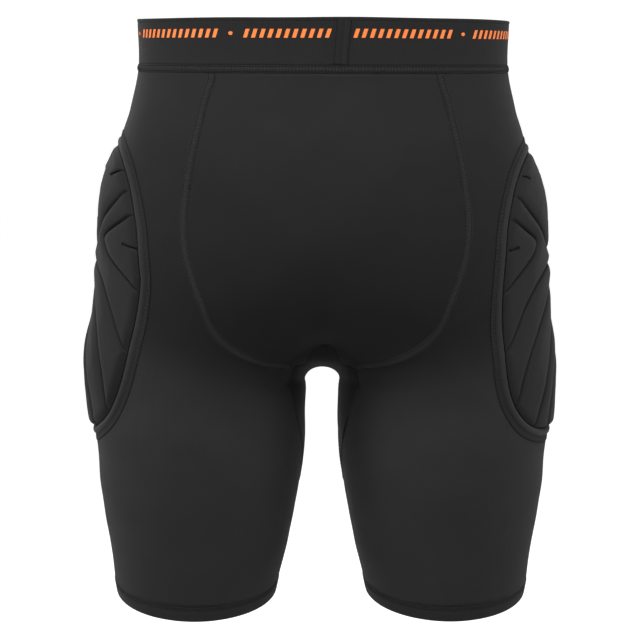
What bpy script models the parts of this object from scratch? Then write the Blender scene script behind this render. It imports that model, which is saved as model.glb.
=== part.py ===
"""Padded hip-protection shorts, in the form they take when worn.

+Z is up and the wearer faces -Y.  The origin is the middle of the waistband.
The cloth follows one smooth body form: a hip section that parts into two
leg sections at the crotch.  Every panel, seam, hem and pad is laid on it.
"""

import math

import bmesh
import bpy
import numpy as np
from mathutils.geometry import delaunay_2d_cdt

# Sizes of the worn form, in metres
WAIST_HALF_WIDTH = 0.1427
WAIST_BACK = 0.104
WAIST_FRONT = 0.106
HIP_HALF_WIDTH = 0.1755
SEAT_BACK = 0.131
BELLY_FRONT = 0.110
CROTCH_DROP = 0.2535
LEG_LENGTH = 0.1755
LEG_GAP = 0.0250
THIGH_BACK = 0.098
THIGH_FRONT = 0.096
HEM_GAP = 0.0712
HEM_WIDTH = 0.124
HEM_BACK = 0.066
HEM_FRONT = 0.071
HEM_TILT = math.radians(10.0)

# Cloth, band, seam and hem sizes
CLOTH = 0.0015
BAND_HEIGHT = 0.0390
BAND_THICKNESS = 0.0022
BAND_SOFTENING = 0.0007
SEAM_HEIGHT = 0.0055
SEAM_PROUD = 0.0006
HEM_HEIGHT = 0.0120
HEM_EDGE = 0.0020
HEM_PROUD = 0.0005
HEM_THICKNESS = 0.0024
PANEL_GAP = 0.0003
PANEL_INSET = 0.75 * PANEL_GAP

# Seat panel and gusset sizes
SEAT_TOP_HALF_WIDTH = 0.0834
SEAT_HALF_WIDTH = 0.1043
GUSSET_HALF_WIDTH = 0.0240
GUSSET_FRONT_HALF_WIDTH = 0.0060
GUSSET_TONGUE = 0.0900
GUSSET_PIVOT = 0.0090
GUSSET_REACH = 0.0600
GUSSET_TIP_ANGLE = math.radians(2.0)

# Hip pad sizes
PAD_DROP = 0.185
PAD_HALF_HEIGHT = 0.1155
PAD_BACK_WIDTH = 0.101
PAD_FRONT_WIDTH = 0.088
PAD_PIVOT = 0.050
PAD_WRAP = 0.118
PAD_FLANGE = 0.006
PAD_FLANGE_THICKNESS = 0.0018
PAD_THICKNESS = 0.0095
PAD_GROOVE = 0.0030
PAD_SHOULDER = 0.0050
PAD_SEAT_GAP = 0.0009
PAD_TOP_ROUNDNESS = 2.6
PAD_BOTTOM_ROUNDNESS = 3.4

# Foam blocks: shares of their height where the wall turns into the shoulder and
# where the crown starts, on a narrow block and gained on a wide one, and how far
# an outline may move in before it would cross itself
PAD_WALL_HEIGHT = (0.35, 0.35)
PAD_CROWN_HEIGHT = (0.50, 0.50)
PAD_WALL_INSET = 0.25
ROOM_AHEAD = 0.30
ROOM_ALONG = 0.40

# Mesh density
RING_COLUMNS = 44
SEAT_COLUMNS = 10
LEG_ROWS = 8
LEG_ROW_SPREAD = 1.4
GUSSET_ROWS = 6
TONGUE_COLUMNS = 6
TONGUE_SPREAD = 1.5
FRONT_SEAM_ROWS = 8
WAIST_COLUMNS = 16
HEM_TURN = math.radians(38.0)
PAD_RIM_COLUMNS = 48
PAD_RIM_TURN = 8.0
PAD_STEP = 0.014
PAD_BACKING_STEP = 0.016
SLOPE_STEP = 0.0005
FACING_STEP = 0.0045
HALVINGS = 40
OUTERMOST = 2 * SEAT_BACK

# Hip sections: drop is a share of the crotch drop, flare runs from the waist's
# half width to the hip's, bulge from the waist's back depth to the seat's, and
# belly from the waist's front depth to the belly's.
HIP_SECTIONS = (
    # drop, flare, bulge, belly
    (-0.08, 0.00, 0.00, 0.00),
    (0.10, 0.00, 0.03, 0.10),
    (0.20, 0.18, 0.26, 0.40),
    (0.28, 0.35, 0.48, 0.65),
    (0.38, 0.48, 0.72, 0.90),
    (0.48, 0.62, 0.90, 1.00),
    (0.60, 0.73, 1.00, 1.00),
    (0.72, 0.79, 0.93, 0.80),
    (0.84, 0.87, 0.70, 0.20),
    (0.94, 0.94, 0.42, -0.40),
    (1.05, 0.99, 0.05, -1.20),
    (1.20, 1.00, -0.25, -2.00),
)

# Leg sections: fall is a share of the leg's length below the crotch, part runs
# from the gap between the thighs to the gap between the hems, narrow from the
# hip's half width to the hem's outer side, and taper from thigh to hem depth.
LEG_SECTIONS = (
    # fall, part, narrow, taper
    (-0.80, 0.00, 0.00, -0.55),
    (-0.30, 0.00, 0.00, -0.45),
    (0.00, 0.00, 0.00, 0.00),
    (0.34, 0.05, 0.01, 0.34),
    (0.50, 0.19, 0.18, 0.53),
    (0.61, 0.35, 0.32, 0.64),
    (0.72, 0.52, 0.51, 0.75),
    (0.83, 0.71, 0.72, 0.84),
    (0.94, 0.91, 0.86, 0.94),
    (1.06, 1.10, 1.10, 1.05),
)
HIP_ROUNDNESS = 2.2
LEG_ROUNDNESS = 2.0
PARTING_TOP = 0.47
PARTING_POWER = 2.2
PARTING_AT_CROTCH = 0.954

# Seat seam: drop is a share of the crotch drop, and spread runs from the seat
# panel's half width at the waist to its widest.
SEAT_SEAM = (
    # drop, spread
    (0.105, 0.03),
    (0.190, 0.35),
    (0.270, 0.58),
    (0.350, 0.76),
    (0.440, 0.94),
    (0.530, 1.02),
    (0.610, 0.94),
    (0.690, 0.68),
    (0.765, 0.38),
    (0.830, 0.12),
    (0.865, -0.22),
    (0.895, -0.65),
    (0.925, -1.30),
    (0.950, -2.00),
    (0.972, -2.60),
)
ARCH_DROP = 0.905
FRONT_ARCH_DROP = 0.930
FRONT_CORNER_DROP = 0.934

# Grooves of a hip pad's back half; the front half mirrors them.  Each starts on
# the foam's rim, at an angle from the lateral side, and runs to the middle in
# shares of the foam's half width and half height.
PAD_GROOVES = {
    # name: rim angle, (across, up) ...
    "notch": (38, (0.575, 0.46), (0.47, 0.56), (0.25, 0.80)),
    "cross": (38, (0.575, 0.46), (0.47, 0.56)),
    "side_top": (25, (0.66, 0.35)),
    "side_bottom": (0, (0.66, 0.35)),
    "first_fan": (-12, (0.79, -0.10), (0.50, 0.17), (0.0, 0.35)),
    "second_fan": (-56, (0.79, -0.66), (0.69, -0.39), (0.52, -0.11), (0.0, 0.09)),
    "third_fan": (-69, (0.48, -0.58), (0.29, -0.34), (0.0, -0.15)),
    "fourth_fan": (-83, (0.16, -0.60), (0.0, -0.44)),
}


def track(rows, column, at):
    """Read a column of a table at any level, on a smooth curve through its rows."""
    levels = np.array([row[0] for row in rows])
    values = np.array([row[column] for row in rows])
    slopes = np.gradient(values, levels)
    at = np.clip(at, levels[0], levels[-1])
    low = np.clip(np.searchsorted(levels, at, side="right") - 1, 0, len(levels) - 2)
    span = levels[low + 1] - levels[low]
    t = (at - levels[low]) / span
    return ((1 + 2 * t) * (1 - t) ** 2 * values[low] + t * (1 - t) ** 2 * span * slopes[low]
            + t * t * (3 - 2 * t) * values[low + 1] + t * t * (t - 1) * span * slopes[low + 1])


def hip_size(z):
    """Half width, back depth and front depth of the hip section at a height."""
    drop = -z / CROTCH_DROP
    half_width = WAIST_HALF_WIDTH + (HIP_HALF_WIDTH - WAIST_HALF_WIDTH) * track(HIP_SECTIONS, 1, drop)
    back = WAIST_BACK + (SEAT_BACK - WAIST_BACK) * track(HIP_SECTIONS, 2, drop)
    front = WAIST_FRONT + (BELLY_FRONT - WAIST_FRONT) * track(HIP_SECTIONS, 3, drop)
    return half_width, back, front


def leg_size(z):
    """Inner side, outer side, back depth and front depth of a leg section."""
    fall = (-z - CROTCH_DROP) / LEG_LENGTH
    inner = LEG_GAP / 2 + (HEM_GAP - LEG_GAP) / 2 * track(LEG_SECTIONS, 1, fall)
    hem_outer = HEM_GAP / 2 + HEM_WIDTH
    outer = hip_size(z)[0] - (HIP_HALF_WIDTH - hem_outer) * track(LEG_SECTIONS, 2, fall)
    taper = track(LEG_SECTIONS, 3, fall)
    return inner, outer, THIGH_BACK + (HEM_BACK - THIGH_BACK) * taper, \
        THIGH_FRONT + (HEM_FRONT - THIGH_FRONT) * taper


def leg_axis(z):
    """The x of the leg's middle line at a height."""
    inner, outer = leg_size(z)[:2]
    return (inner + outer) / 2


def body(x, y, z):
    """Signed measure of the body form: below zero inside and above zero outside."""
    half_width, back, front = hip_size(z)
    depth = np.where(y > 0, back, front)
    hips = ((np.abs(x) / half_width) ** HIP_ROUNDNESS
            + (np.abs(y) / depth) ** HIP_ROUNDNESS) ** (1 / HIP_ROUNDNESS) - 1
    inner, outer, leg_back, leg_front = leg_size(z)
    leg_half = (outer - inner) / 2
    leg_depth = np.where(y > 0, leg_back, leg_front)
    legs = ((np.abs(np.abs(x) - (inner + outer) / 2) / leg_half) ** LEG_ROUNDNESS
            + (np.abs(y) / leg_depth) ** LEG_ROUNDNESS) ** (1 / LEG_ROUNDNESS) - 1
    top = PARTING_TOP * CROTCH_DROP
    end = top + (CROTCH_DROP - top) / PARTING_AT_CROTCH
    parting = np.clip((-z - top) / (end - top), 0, 1) ** PARTING_POWER
    return (1 - parting) * hips * front + parting * legs * leg_half


def normal(points):
    """Outward unit normals of the body form at an array of points."""
    x, y, z = points[..., 0], points[..., 1], points[..., 2]
    slope = np.stack([body(x + SLOPE_STEP, y, z) - body(x - SLOPE_STEP, y, z),
                      body(x, y + SLOPE_STEP, z) - body(x, y - SLOPE_STEP, z),
                      body(x, y, z + SLOPE_STEP) - body(x, y, z - SLOPE_STEP)], axis=-1)
    return slope / np.linalg.norm(slope, axis=-1, keepdims=True)


def reach(origin, direction, limit):
    """Walk from inside the body along directions to its surface, or to a limit."""
    near = np.zeros(direction.shape[:-1])
    far = np.broadcast_to(limit, near.shape).astype(float)
    for _ in range(HALVINGS):
        middle = (near + far) / 2
        point = origin + direction * middle[..., None]
        inside = body(point[..., 0], point[..., 1], point[..., 2]) < 0
        near = np.where(inside, middle, near)
        far = np.where(inside, far, middle)
    return origin + direction * near[..., None]


def around_leg(angle, z):
    """Surface points by angle round the leg's middle line; they stop at the centre plane."""
    angle, z = np.broadcast_arrays(np.asarray(angle, float), np.asarray(z, float))
    centre = leg_axis(z)
    direction = np.stack([np.cos(angle), np.sin(angle), np.zeros_like(angle)], axis=-1)
    origin = np.stack([centre, np.zeros_like(angle), z], axis=-1)
    to_plane = centre / np.maximum(-direction[..., 0], 1e-6)
    return reach(origin, direction, np.minimum(to_plane, OUTERMOST))


def facing(x, z, side):
    """Surface points at given x and z, on the back (side +1) or the front (side -1)."""
    x, z = np.broadcast_arrays(np.asarray(x, float), np.asarray(z, float))
    near = np.zeros_like(x)
    for depth in np.arange(0, OUTERMOST, FACING_STEP):
        near = np.where(body(x, side * depth + 0 * x, z) < 0, depth, near)
    far = near + FACING_STEP
    for _ in range(HALVINGS):
        middle = (near + far) / 2
        inside = body(x, side * middle, z) < 0
        near = np.where(inside, middle, near)
        far = np.where(inside, far, middle)
    return np.stack([x, side * near, z], axis=-1)


def leg_angle(points):
    """Angle of points round the leg's middle line, falling from the back over the side."""
    angle = np.arctan2(points[..., 1], points[..., 0] - leg_axis(points[..., 2]))
    return np.unwrap(angle)


def mirrored(points):
    """The same points on the wearer's other side."""
    return points * np.array([-1.0, 1.0, 1.0])


def seat_seam_line():
    """The seat seam on the wearer's left, from the waist down to the gusset."""
    drops = np.array([row[0] for row in SEAT_SEAM])
    spread = np.array([row[1] for row in SEAT_SEAM])
    x = SEAT_TOP_HALF_WIDTH + (SEAT_HALF_WIDTH - SEAT_TOP_HALF_WIDTH) * spread
    x = np.maximum(x, GUSSET_HALF_WIDTH)
    x[-1] = GUSSET_HALF_WIDTH
    z = -drops * CROTCH_DROP
    z[0] = -cloth_top()
    return facing(x, z, 1)


def cloth_top():
    """Depth of the panels' top edge under the origin."""
    return BAND_HEIGHT / 2 + SEAM_HEIGHT + PANEL_GAP


def arch_line(side):
    """Gusset edge across the centre, between its two corners, at the back or front."""
    across = np.linspace(-1, 1, SEAT_COLUMNS + 1)
    if side > 0:
        half_width, middle, corner = GUSSET_HALF_WIDTH, ARCH_DROP, SEAT_SEAM[-1][0]
    else:
        half_width, middle, corner = GUSSET_FRONT_HALF_WIDTH, FRONT_ARCH_DROP, FRONT_CORNER_DROP
    z = -CROTCH_DROP * (middle + (corner - middle) * across ** 2)
    return facing(across * half_width, z, side)


def tongue_line(corner, side):
    """Gusset edge from a corner down the inner thigh to the tongue's tip."""
    t = np.linspace(0, 1, TONGUE_COLUMNS + 1)[1:] ** TONGUE_SPREAD
    start = leg_angle(corner[None])[0] % (2 * math.pi)
    tip = math.pi - side * GUSSET_TIP_ANGLE
    z = corner[2] - GUSSET_TONGUE * t
    return around_leg(start + (tip - start) * t, z)


def drawn_in(points, closed):
    """Move a grid's open edges inward along the surface, to leave the gap between panels."""
    across = normal(points)
    moved = points.copy()
    every = slice(None)
    edges = [((0, every), (1, every)), ((-1, every), (-2, every))]
    if not closed:
        edges += [((every, 0), (every, 1)), ((every, -1), (every, -2))]
    for edge, next_line in edges:
        line = points[edge]
        if closed:
            along = np.roll(line, -1, axis=0) - np.roll(line, 1, axis=0)
        else:
            along = np.gradient(line, axis=0)
        inward = np.cross(across[edge], along)
        inward /= np.linalg.norm(inward, axis=-1, keepdims=True)
        inward *= np.sign(np.sum(inward * (points[next_line] - line), axis=-1, keepdims=True))
        moved[edge] += inward * PANEL_INSET
    return moved


def new_material(name, shade, roughness):
    """A plain cloth, rubber or foam material."""
    material = bpy.data.materials.new(name)
    material.use_nodes = True
    shader = material.node_tree.nodes["Principled BSDF"]
    shader.inputs["Base Color"].default_value = (shade, shade, shade, 1.0)
    shader.inputs["Roughness"].default_value = roughness
    shader.inputs["Metallic"].default_value = 0.0
    return material


def add_solid(name, points, faces, material):
    """One closed body from points and faces, with its faces turned outward."""
    mesh = bpy.data.meshes.new(name)
    mesh.from_pydata([tuple(map(float, point)) for point in points], [], faces)
    build = bmesh.new()
    build.from_mesh(mesh)
    bmesh.ops.remove_doubles(build, verts=build.verts, dist=1e-6)
    bmesh.ops.triangulate(build, faces=build.faces)
    bmesh.ops.recalc_face_normals(build, faces=build.faces)
    build.to_mesh(mesh)
    build.free()
    mesh.shade_smooth()
    mesh.set_sharp_from_angle(angle=math.radians(40))
    mesh.materials.append(material)
    thing = bpy.data.objects.new(name, mesh)
    bpy.context.collection.objects.link(thing)
    return thing


def add_wall(name, outer, inner, closed, material):
    """A cloth wall between two grids; a closed wall's columns run all the way round."""
    rows, columns = outer.shape[:2]
    points = np.concatenate([outer.reshape(-1, 3), inner.reshape(-1, 3)])
    back = rows * columns
    spans = columns if closed else columns - 1
    faces = []
    for row in range(rows - 1):
        for column in range(spans):
            a = row * columns + column
            b = row * columns + (column + 1) % columns
            faces.append((a, b, b + columns, a + columns))
            faces.append((back + a, back + a + columns, back + b + columns, back + b))
    for row in (0, rows - 1):
        for column in range(spans):
            a = row * columns + column
            b = row * columns + (column + 1) % columns
            faces.append((a, back + a, back + b, b))
    if not closed:
        for column in (0, columns - 1):
            for row in range(rows - 1):
                a = row * columns + column
                faces.append((a, a + columns, back + a + columns, back + a))
    return add_solid(name, points, faces, material)


def add_panel(name, points, closed, material, swap=False):
    """A cloth panel whose outer face lies on the body form."""
    outer = drawn_in(points, closed)
    inner = outer - normal(points) * CLOTH
    if swap:
        outer, inner = mirrored(outer), mirrored(inner)
    return add_wall(name, outer, inner, closed, material)


def hip_ring(z, columns):
    """A closed ring of surface points at one height, round the whole waist."""
    angle = np.linspace(0, 2 * math.pi, columns, endpoint=False)
    direction = np.stack([np.cos(angle), np.sin(angle), 0 * angle], axis=-1)
    origin = np.zeros((columns, 3))
    origin[:, 2] = z
    return reach(origin, direction, OUTERMOST)


def add_waistband(material):
    """The elastic band, with its top edge slightly rounded."""
    low, high = -BAND_HEIGHT / 2, BAND_HEIGHT / 2
    rows = ((low, 0.0), (low / 3, 0.0), (high - 2 * BAND_SOFTENING, 0.0), (high, BAND_SOFTENING))
    outer, inner = [], []
    for z, inset in rows:
        ring = hip_ring(z, RING_COLUMNS)
        across = normal(ring) * np.array([1.0, 1.0, 0.0])
        outer.append(ring - across * inset)
        inner.append(ring - across * (BAND_THICKNESS - inset))
    add_wall("waistband", np.array(outer), np.array(inner), True, material)


def add_waistband_seam(material):
    """The narrow stitched seam under the band, a little proud of the cloth."""
    top = -BAND_HEIGHT / 2 - PANEL_GAP
    rows = ((top, 0.0), (top - SEAM_HEIGHT / 2, SEAM_PROUD), (top - SEAM_HEIGHT + PANEL_GAP / 2, 0.0))
    outer, inner = [], []
    for z, proud in rows:
        ring = hip_ring(z, RING_COLUMNS)
        across = normal(ring) * np.array([1.0, 1.0, 0.0])
        outer.append(ring + across * proud)
        inner.append(ring - across * CLOTH)
    add_wall("waistband_seam", np.array(outer), np.array(inner), True, material)


def add_seat_panel(material):
    """The seat between its two curved seams, ending in the arch over the gusset."""
    seam = seat_seam_line()
    rows = len(seam)
    across = np.linspace(-1, 1, SEAT_COLUMNS + 1)
    progress = np.linspace(0, 1, rows)
    middle = seam[0, 2] + (-ARCH_DROP * CROTCH_DROP - seam[0, 2]) * progress
    grid = []
    for row in range(rows):
        z = middle[row] + (seam[row, 2] - middle[row]) * across ** 2
        grid.append(facing(across * seam[row, 0], z, 1))
    add_panel("seat_panel", np.array(grid), False, material)


def front_seam_line():
    """The centre front seam, from the waist down to the gusset."""
    z = np.linspace(-cloth_top(), -FRONT_ARCH_DROP * CROTCH_DROP, FRONT_SEAM_ROWS + 1)
    return facing(0 * z, z, -1)


def leg_edge():
    """The closed upper edge of a leg panel: waist, front seam, gusset and seat seam."""
    seam = seat_seam_line()
    front = front_seam_line()
    arch = arch_line(-1)[SEAT_COLUMNS // 2:]
    front_tongue = tongue_line(arch[-1], -1)
    back_tongue = tongue_line(seam[-1], 1)
    start = leg_angle(seam[:1])[0]
    finish = math.atan2(front[0, 1], -leg_axis(front[0, 2]))
    angles = np.linspace(start, finish, WAIST_COLUMNS + 1)
    waist = around_leg(angles, np.full_like(angles, -cloth_top()))
    return np.concatenate([waist[:-1], front[:-1], arch, front_tongue,
                           back_tongue[::-1], seam[:0:-1]])


def hem_level(y):
    """Height of the hem's lower edge, which falls towards the back."""
    return -CROTCH_DROP - LEG_LENGTH - math.tan(HEM_TILT) * y


def hem_ring(angles, rise):
    """A ring round the leg parallel to the hem's lower edge, raised by a height."""
    z = np.full_like(angles, -CROTCH_DROP - LEG_LENGTH + rise)
    for _ in range(6):
        ring = around_leg(angles, z)
        z = hem_level(ring[:, 1]) + rise
    return around_leg(angles, z)


def hem_angles(edge):
    """Angles of the hem's columns: even round the leg, turned to follow the upper edge."""
    upper = leg_angle(edge)
    even = upper[0] - 2 * math.pi * np.arange(len(edge)) / len(edge)
    share = np.cumsum(np.linalg.norm(np.diff(edge, axis=0, append=edge[:1]), axis=1))
    by_length = upper[0] - 2 * math.pi * np.concatenate([[0], share[:-1]]) / share[-1]
    return (even + by_length) / 2 - HEM_TURN


def leg_grid():
    """Surface grid of a leg panel, from its upper edge down to the hem."""
    edge = leg_edge()
    upper = leg_angle(edge)
    lower = hem_angles(edge)
    ring = hem_ring(lower, HEM_HEIGHT)
    t = np.linspace(0, 1, LEG_ROWS + 1)[:, None] ** LEG_ROW_SPREAD
    grid = around_leg(upper * (1 - t) + lower * t, edge[:, 2] * (1 - t) + ring[:, 2] * t)
    grid[0], grid[-1] = edge, ring
    return grid


def add_hem(name, material, swap):
    """The turned and stitched hem of one leg."""
    angles = np.linspace(0, 2 * math.pi, RING_COLUMNS, endpoint=False)
    outer, inner = [], []
    rows = ((HEM_HEIGHT - PANEL_GAP, 0.0), (HEM_HEIGHT - HEM_EDGE, HEM_PROUD),
            (HEM_EDGE, HEM_PROUD), (0.0, 0.0))
    for rise, proud in rows:
        ring = hem_ring(angles, rise)
        across = normal(ring)
        outer.append(ring + across * proud)
        inner.append(ring - across * (HEM_THICKNESS - 2 * HEM_PROUD + proud))
    outer, inner = np.array(outer), np.array(inner)
    if swap:
        outer, inner = mirrored(outer), mirrored(inner)
    add_wall(name, outer, inner, True, material)


def between_legs(points):
    """Turn and depth (x-z angle, y) of surface points seen from the gap between the legs."""
    height = points[..., 2] + CROTCH_DROP + GUSSET_PIVOT
    over = np.arctan2(points[..., 0], np.maximum(height, 0))
    below = np.sign(points[..., 0]) * np.maximum(-height, 0) / LEG_GAP
    return np.stack([over + below, points[..., 1]], axis=-1)


def from_between(turns):
    """Surface points by turn and depth: the reverse of between_legs."""
    turn, y = turns[..., 0], turns[..., 1]
    over = np.clip(turn, -math.pi / 2, math.pi / 2)
    origin = np.stack([0 * y, y, -CROTCH_DROP - GUSSET_PIVOT - np.abs(turn - over) * LEG_GAP], axis=-1)
    direction = np.stack([np.sin(over), 0 * y, np.cos(over)], axis=-1)
    near, far = np.zeros_like(turn), np.full_like(turn, GUSSET_REACH)
    for _ in range(HALVINGS):
        middle = (near + far) / 2
        point = origin + direction * middle[..., None]
        outside = body(point[..., 0], point[..., 1], point[..., 2]) > 0
        near = np.where(outside, middle, near)
        far = np.where(outside, far, middle)
    return origin + direction * near[..., None]


def gusset_grid():
    """Surface grid of the gusset, from one tongue's tip to the other's."""
    edges = []
    for side in (1, -1):
        arch = arch_line(side)
        tongue = tongue_line(arch[-1], side)
        edges.append(np.concatenate([mirrored(tongue[::-1]), arch, tongue]))
    t = np.linspace(0, 1, GUSSET_ROWS + 1)[:, None, None]
    grid = from_between(between_legs(edges[0])[None] * (1 - t) + between_legs(edges[1])[None] * t)
    grid[0], grid[-1] = edges
    return grid


def pad_place(flat, lift):
    """Points on the body for flat pad points (across, up), lifted off the cloth."""
    flat = np.asarray(flat, float)
    angle = flat[:, 0] / PAD_WRAP
    origin = np.stack([np.full_like(angle, PAD_PIVOT), 0 * angle, flat[:, 1] - PAD_DROP], axis=-1)
    direction = np.stack([np.cos(angle), np.sin(angle), 0 * angle], axis=-1)
    points = reach(origin, direction, OUTERMOST)
    return points + normal(points) * np.broadcast_to(lift, angle.shape)[:, None]


def rim_share(angle):
    """Point of the pad's oval at an angle, in shares of its half width and height."""
    power = 2 / (PAD_TOP_ROUNDNESS if math.sin(angle) > 0 else PAD_BOTTOM_ROUNDNESS)
    return (math.copysign(abs(math.cos(angle)) ** power, math.cos(angle)),
            math.copysign(abs(math.sin(angle)) ** power, math.sin(angle)))


def pad_flat(shares, inset):
    """Flat pad coordinates, in metres, of points given as shares of the inset oval."""
    shares = np.asarray(shares, float)
    width = np.where(shares[:, 0] > 0, PAD_BACK_WIDTH, PAD_FRONT_WIDTH) - inset
    return np.stack([shares[:, 0] * width, shares[:, 1] * (PAD_HALF_HEIGHT - inset)], axis=-1)


def rim_run(start, finish):
    """Shares along the oval between two angles in degrees, both ends included."""
    count = max(2, int(abs(finish - start) / PAD_RIM_TURN) + 1)
    return [rim_share(math.radians(angle)) for angle in np.linspace(start, finish, count)]


def groove_run(name):
    """Shares along one groove from the back rim over the middle to the front rim."""
    angle, *inner = PAD_GROOVES[name]
    half = [rim_share(math.radians(angle)), *inner]
    other = [(-across, up) for across, up in half[::-1]]
    return half + (other[1:] if half[-1][0] == 0 else other)


def pad_cells():
    """Outlines of the foam blocks, in shares, each running anticlockwise."""
    angle = {name: groove[0] for name, groove in PAD_GROOVES.items()}
    top = rim_run(angle["notch"], 180 - angle["notch"]) + groove_run("notch")[-2:0:-1]
    apex = PAD_GROOVES["side_top"][1]
    back_side = rim_run(angle["side_bottom"], angle["side_top"]) + [apex]
    front_side = [(-across, up) for across, up in back_side[::-1]]
    cross = (rim_run(angle["side_top"], angle["cross"]) + groove_run("cross")[1:-1]
             + rim_run(180 - angle["cross"], 180 - angle["side_top"]) + [(-apex[0], apex[1])]
             + rim_run(180 - angle["side_bottom"], 180 - angle["first_fan"])
             + groove_run("first_fan")[-2:0:-1]
             + rim_run(angle["first_fan"], angle["side_bottom"]) + [apex])
    cells = [top, cross, back_side, front_side]
    fans = ("first_fan", "second_fan", "third_fan", "fourth_fan")
    for upper, lower in zip(fans, fans[1:]):
        cells.append(groove_run(upper)[:-1] + rim_run(180 - angle[upper], 180 - angle[lower])
                     + groove_run(lower)[-2:0:-1] + rim_run(angle[lower], angle[upper])[:-1])
    last = fans[-1]
    cells.append(groove_run(last)[:-1] + rim_run(180 - angle[last], 360 + angle[last])[:-1])
    return cells


def even_loop(points, step):
    """The loop with points added so that no side is longer than a step."""
    loop = []
    for start, finish in zip(points, np.roll(points, -1, axis=0)):
        count = max(1, math.ceil(np.linalg.norm(finish - start) / step - 0.2))
        loop += [start + (finish - start) * k / count for k in range(count)]
    return np.array(loop)


def clear_ahead(point, direction, loop):
    """Distance from a point along a direction to the first side of a loop."""
    nearest = 1.0
    for start, finish in zip(loop, np.roll(loop, -1, axis=0)):
        side = finish - start
        cross = direction[0] * side[1] - direction[1] * side[0]
        if abs(cross) < 1e-12:
            continue
        offset = start - point
        along = (offset[0] * side[1] - offset[1] * side[0]) / cross
        share = (offset[0] * direction[1] - offset[1] * direction[0]) / cross
        if along > 1e-5 and -1e-9 <= share <= 1 + 1e-9:
            nearest = min(nearest, along)
    return nearest


def inset_loop(loop, depth):
    """The loop moved inward, less where it is narrow; also the share of depth kept."""
    moved, kept = [], []
    for index, point in enumerate(loop):
        before, after = loop[index - 1], loop[(index + 1) % len(loop)]
        sides = []
        for start, finish in ((before, point), (point, after)):
            side = (finish - start) / np.linalg.norm(finish - start)
            sides.append(np.array([-side[1], side[0]]))
        inward = sides[0] + sides[1]
        inward /= np.linalg.norm(inward)
        facing_share = float(np.dot(inward, sides[0]))
        turns_in = sides[0][0] * sides[1][1] - sides[0][1] * sides[1][0] > 0
        wanted = depth / max(0.5, facing_share) if turns_in else depth
        shorter = min(np.linalg.norm(point - before), np.linalg.norm(after - point))
        room = min(ROOM_AHEAD * clear_ahead(point, inward, loop),
                   ROOM_ALONG * shorter / math.sqrt(max(1e-4, 1 - facing_share ** 2)))
        moved.append(point + inward * min(wanted, room))
        kept.append(min(1.0, room / wanted))
    return np.array(moved), np.array(kept)


def inside_loop(point, loop):
    """True where a flat point lies inside a loop."""
    inside = False
    for start, finish in zip(loop, np.roll(loop, -1, axis=0)):
        if (start[1] > point[1]) != (finish[1] > point[1]):
            crossing = start[0] + (point[1] - start[1]) * (finish[0] - start[0]) / (finish[1] - start[1])
            if crossing > point[0]:
                inside = not inside
    return inside


def fill_flat(loops, spare):
    """Triangles that fill the first loop outside the others, on the loops' own points."""
    points, outlines = [], []
    for loop in loops:
        outlines.append(list(range(len(points), len(points) + len(loop))))
        points += [tuple(point) for point in loop]
    points += [tuple(point) for point in spare]
    made = delaunay_2d_cdt(points, [], outlines, 0, 1e-7)
    source = [min(origin) for origin in made[3]]
    kept = [tuple(source[k] for k in face)
            for face, within in zip(made[2], made[5]) if list(within) == [0]]
    return points, kept


def spare_points(loop, holes, step, clearance):
    """A loose grid of flat points inside a loop, clear of its sides and of the holes."""
    low, high = loop.min(axis=0), loop.max(axis=0)
    found = []
    for row, up in enumerate(np.arange(low[1] + step / 2, high[1], step)):
        for across in np.arange(low[0] + step * (0.5 + 0.5 * (row % 2)), high[0], step):
            point = np.array([across, up])
            if not inside_loop(point, loop) or any(inside_loop(point, hole) for hole in holes):
                continue
            gaps = [np.min(np.linalg.norm(edge - point, axis=1)) for edge in (loop, *holes)]
            if min(gaps) > clearance:
                found.append(point)
    return found


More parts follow.
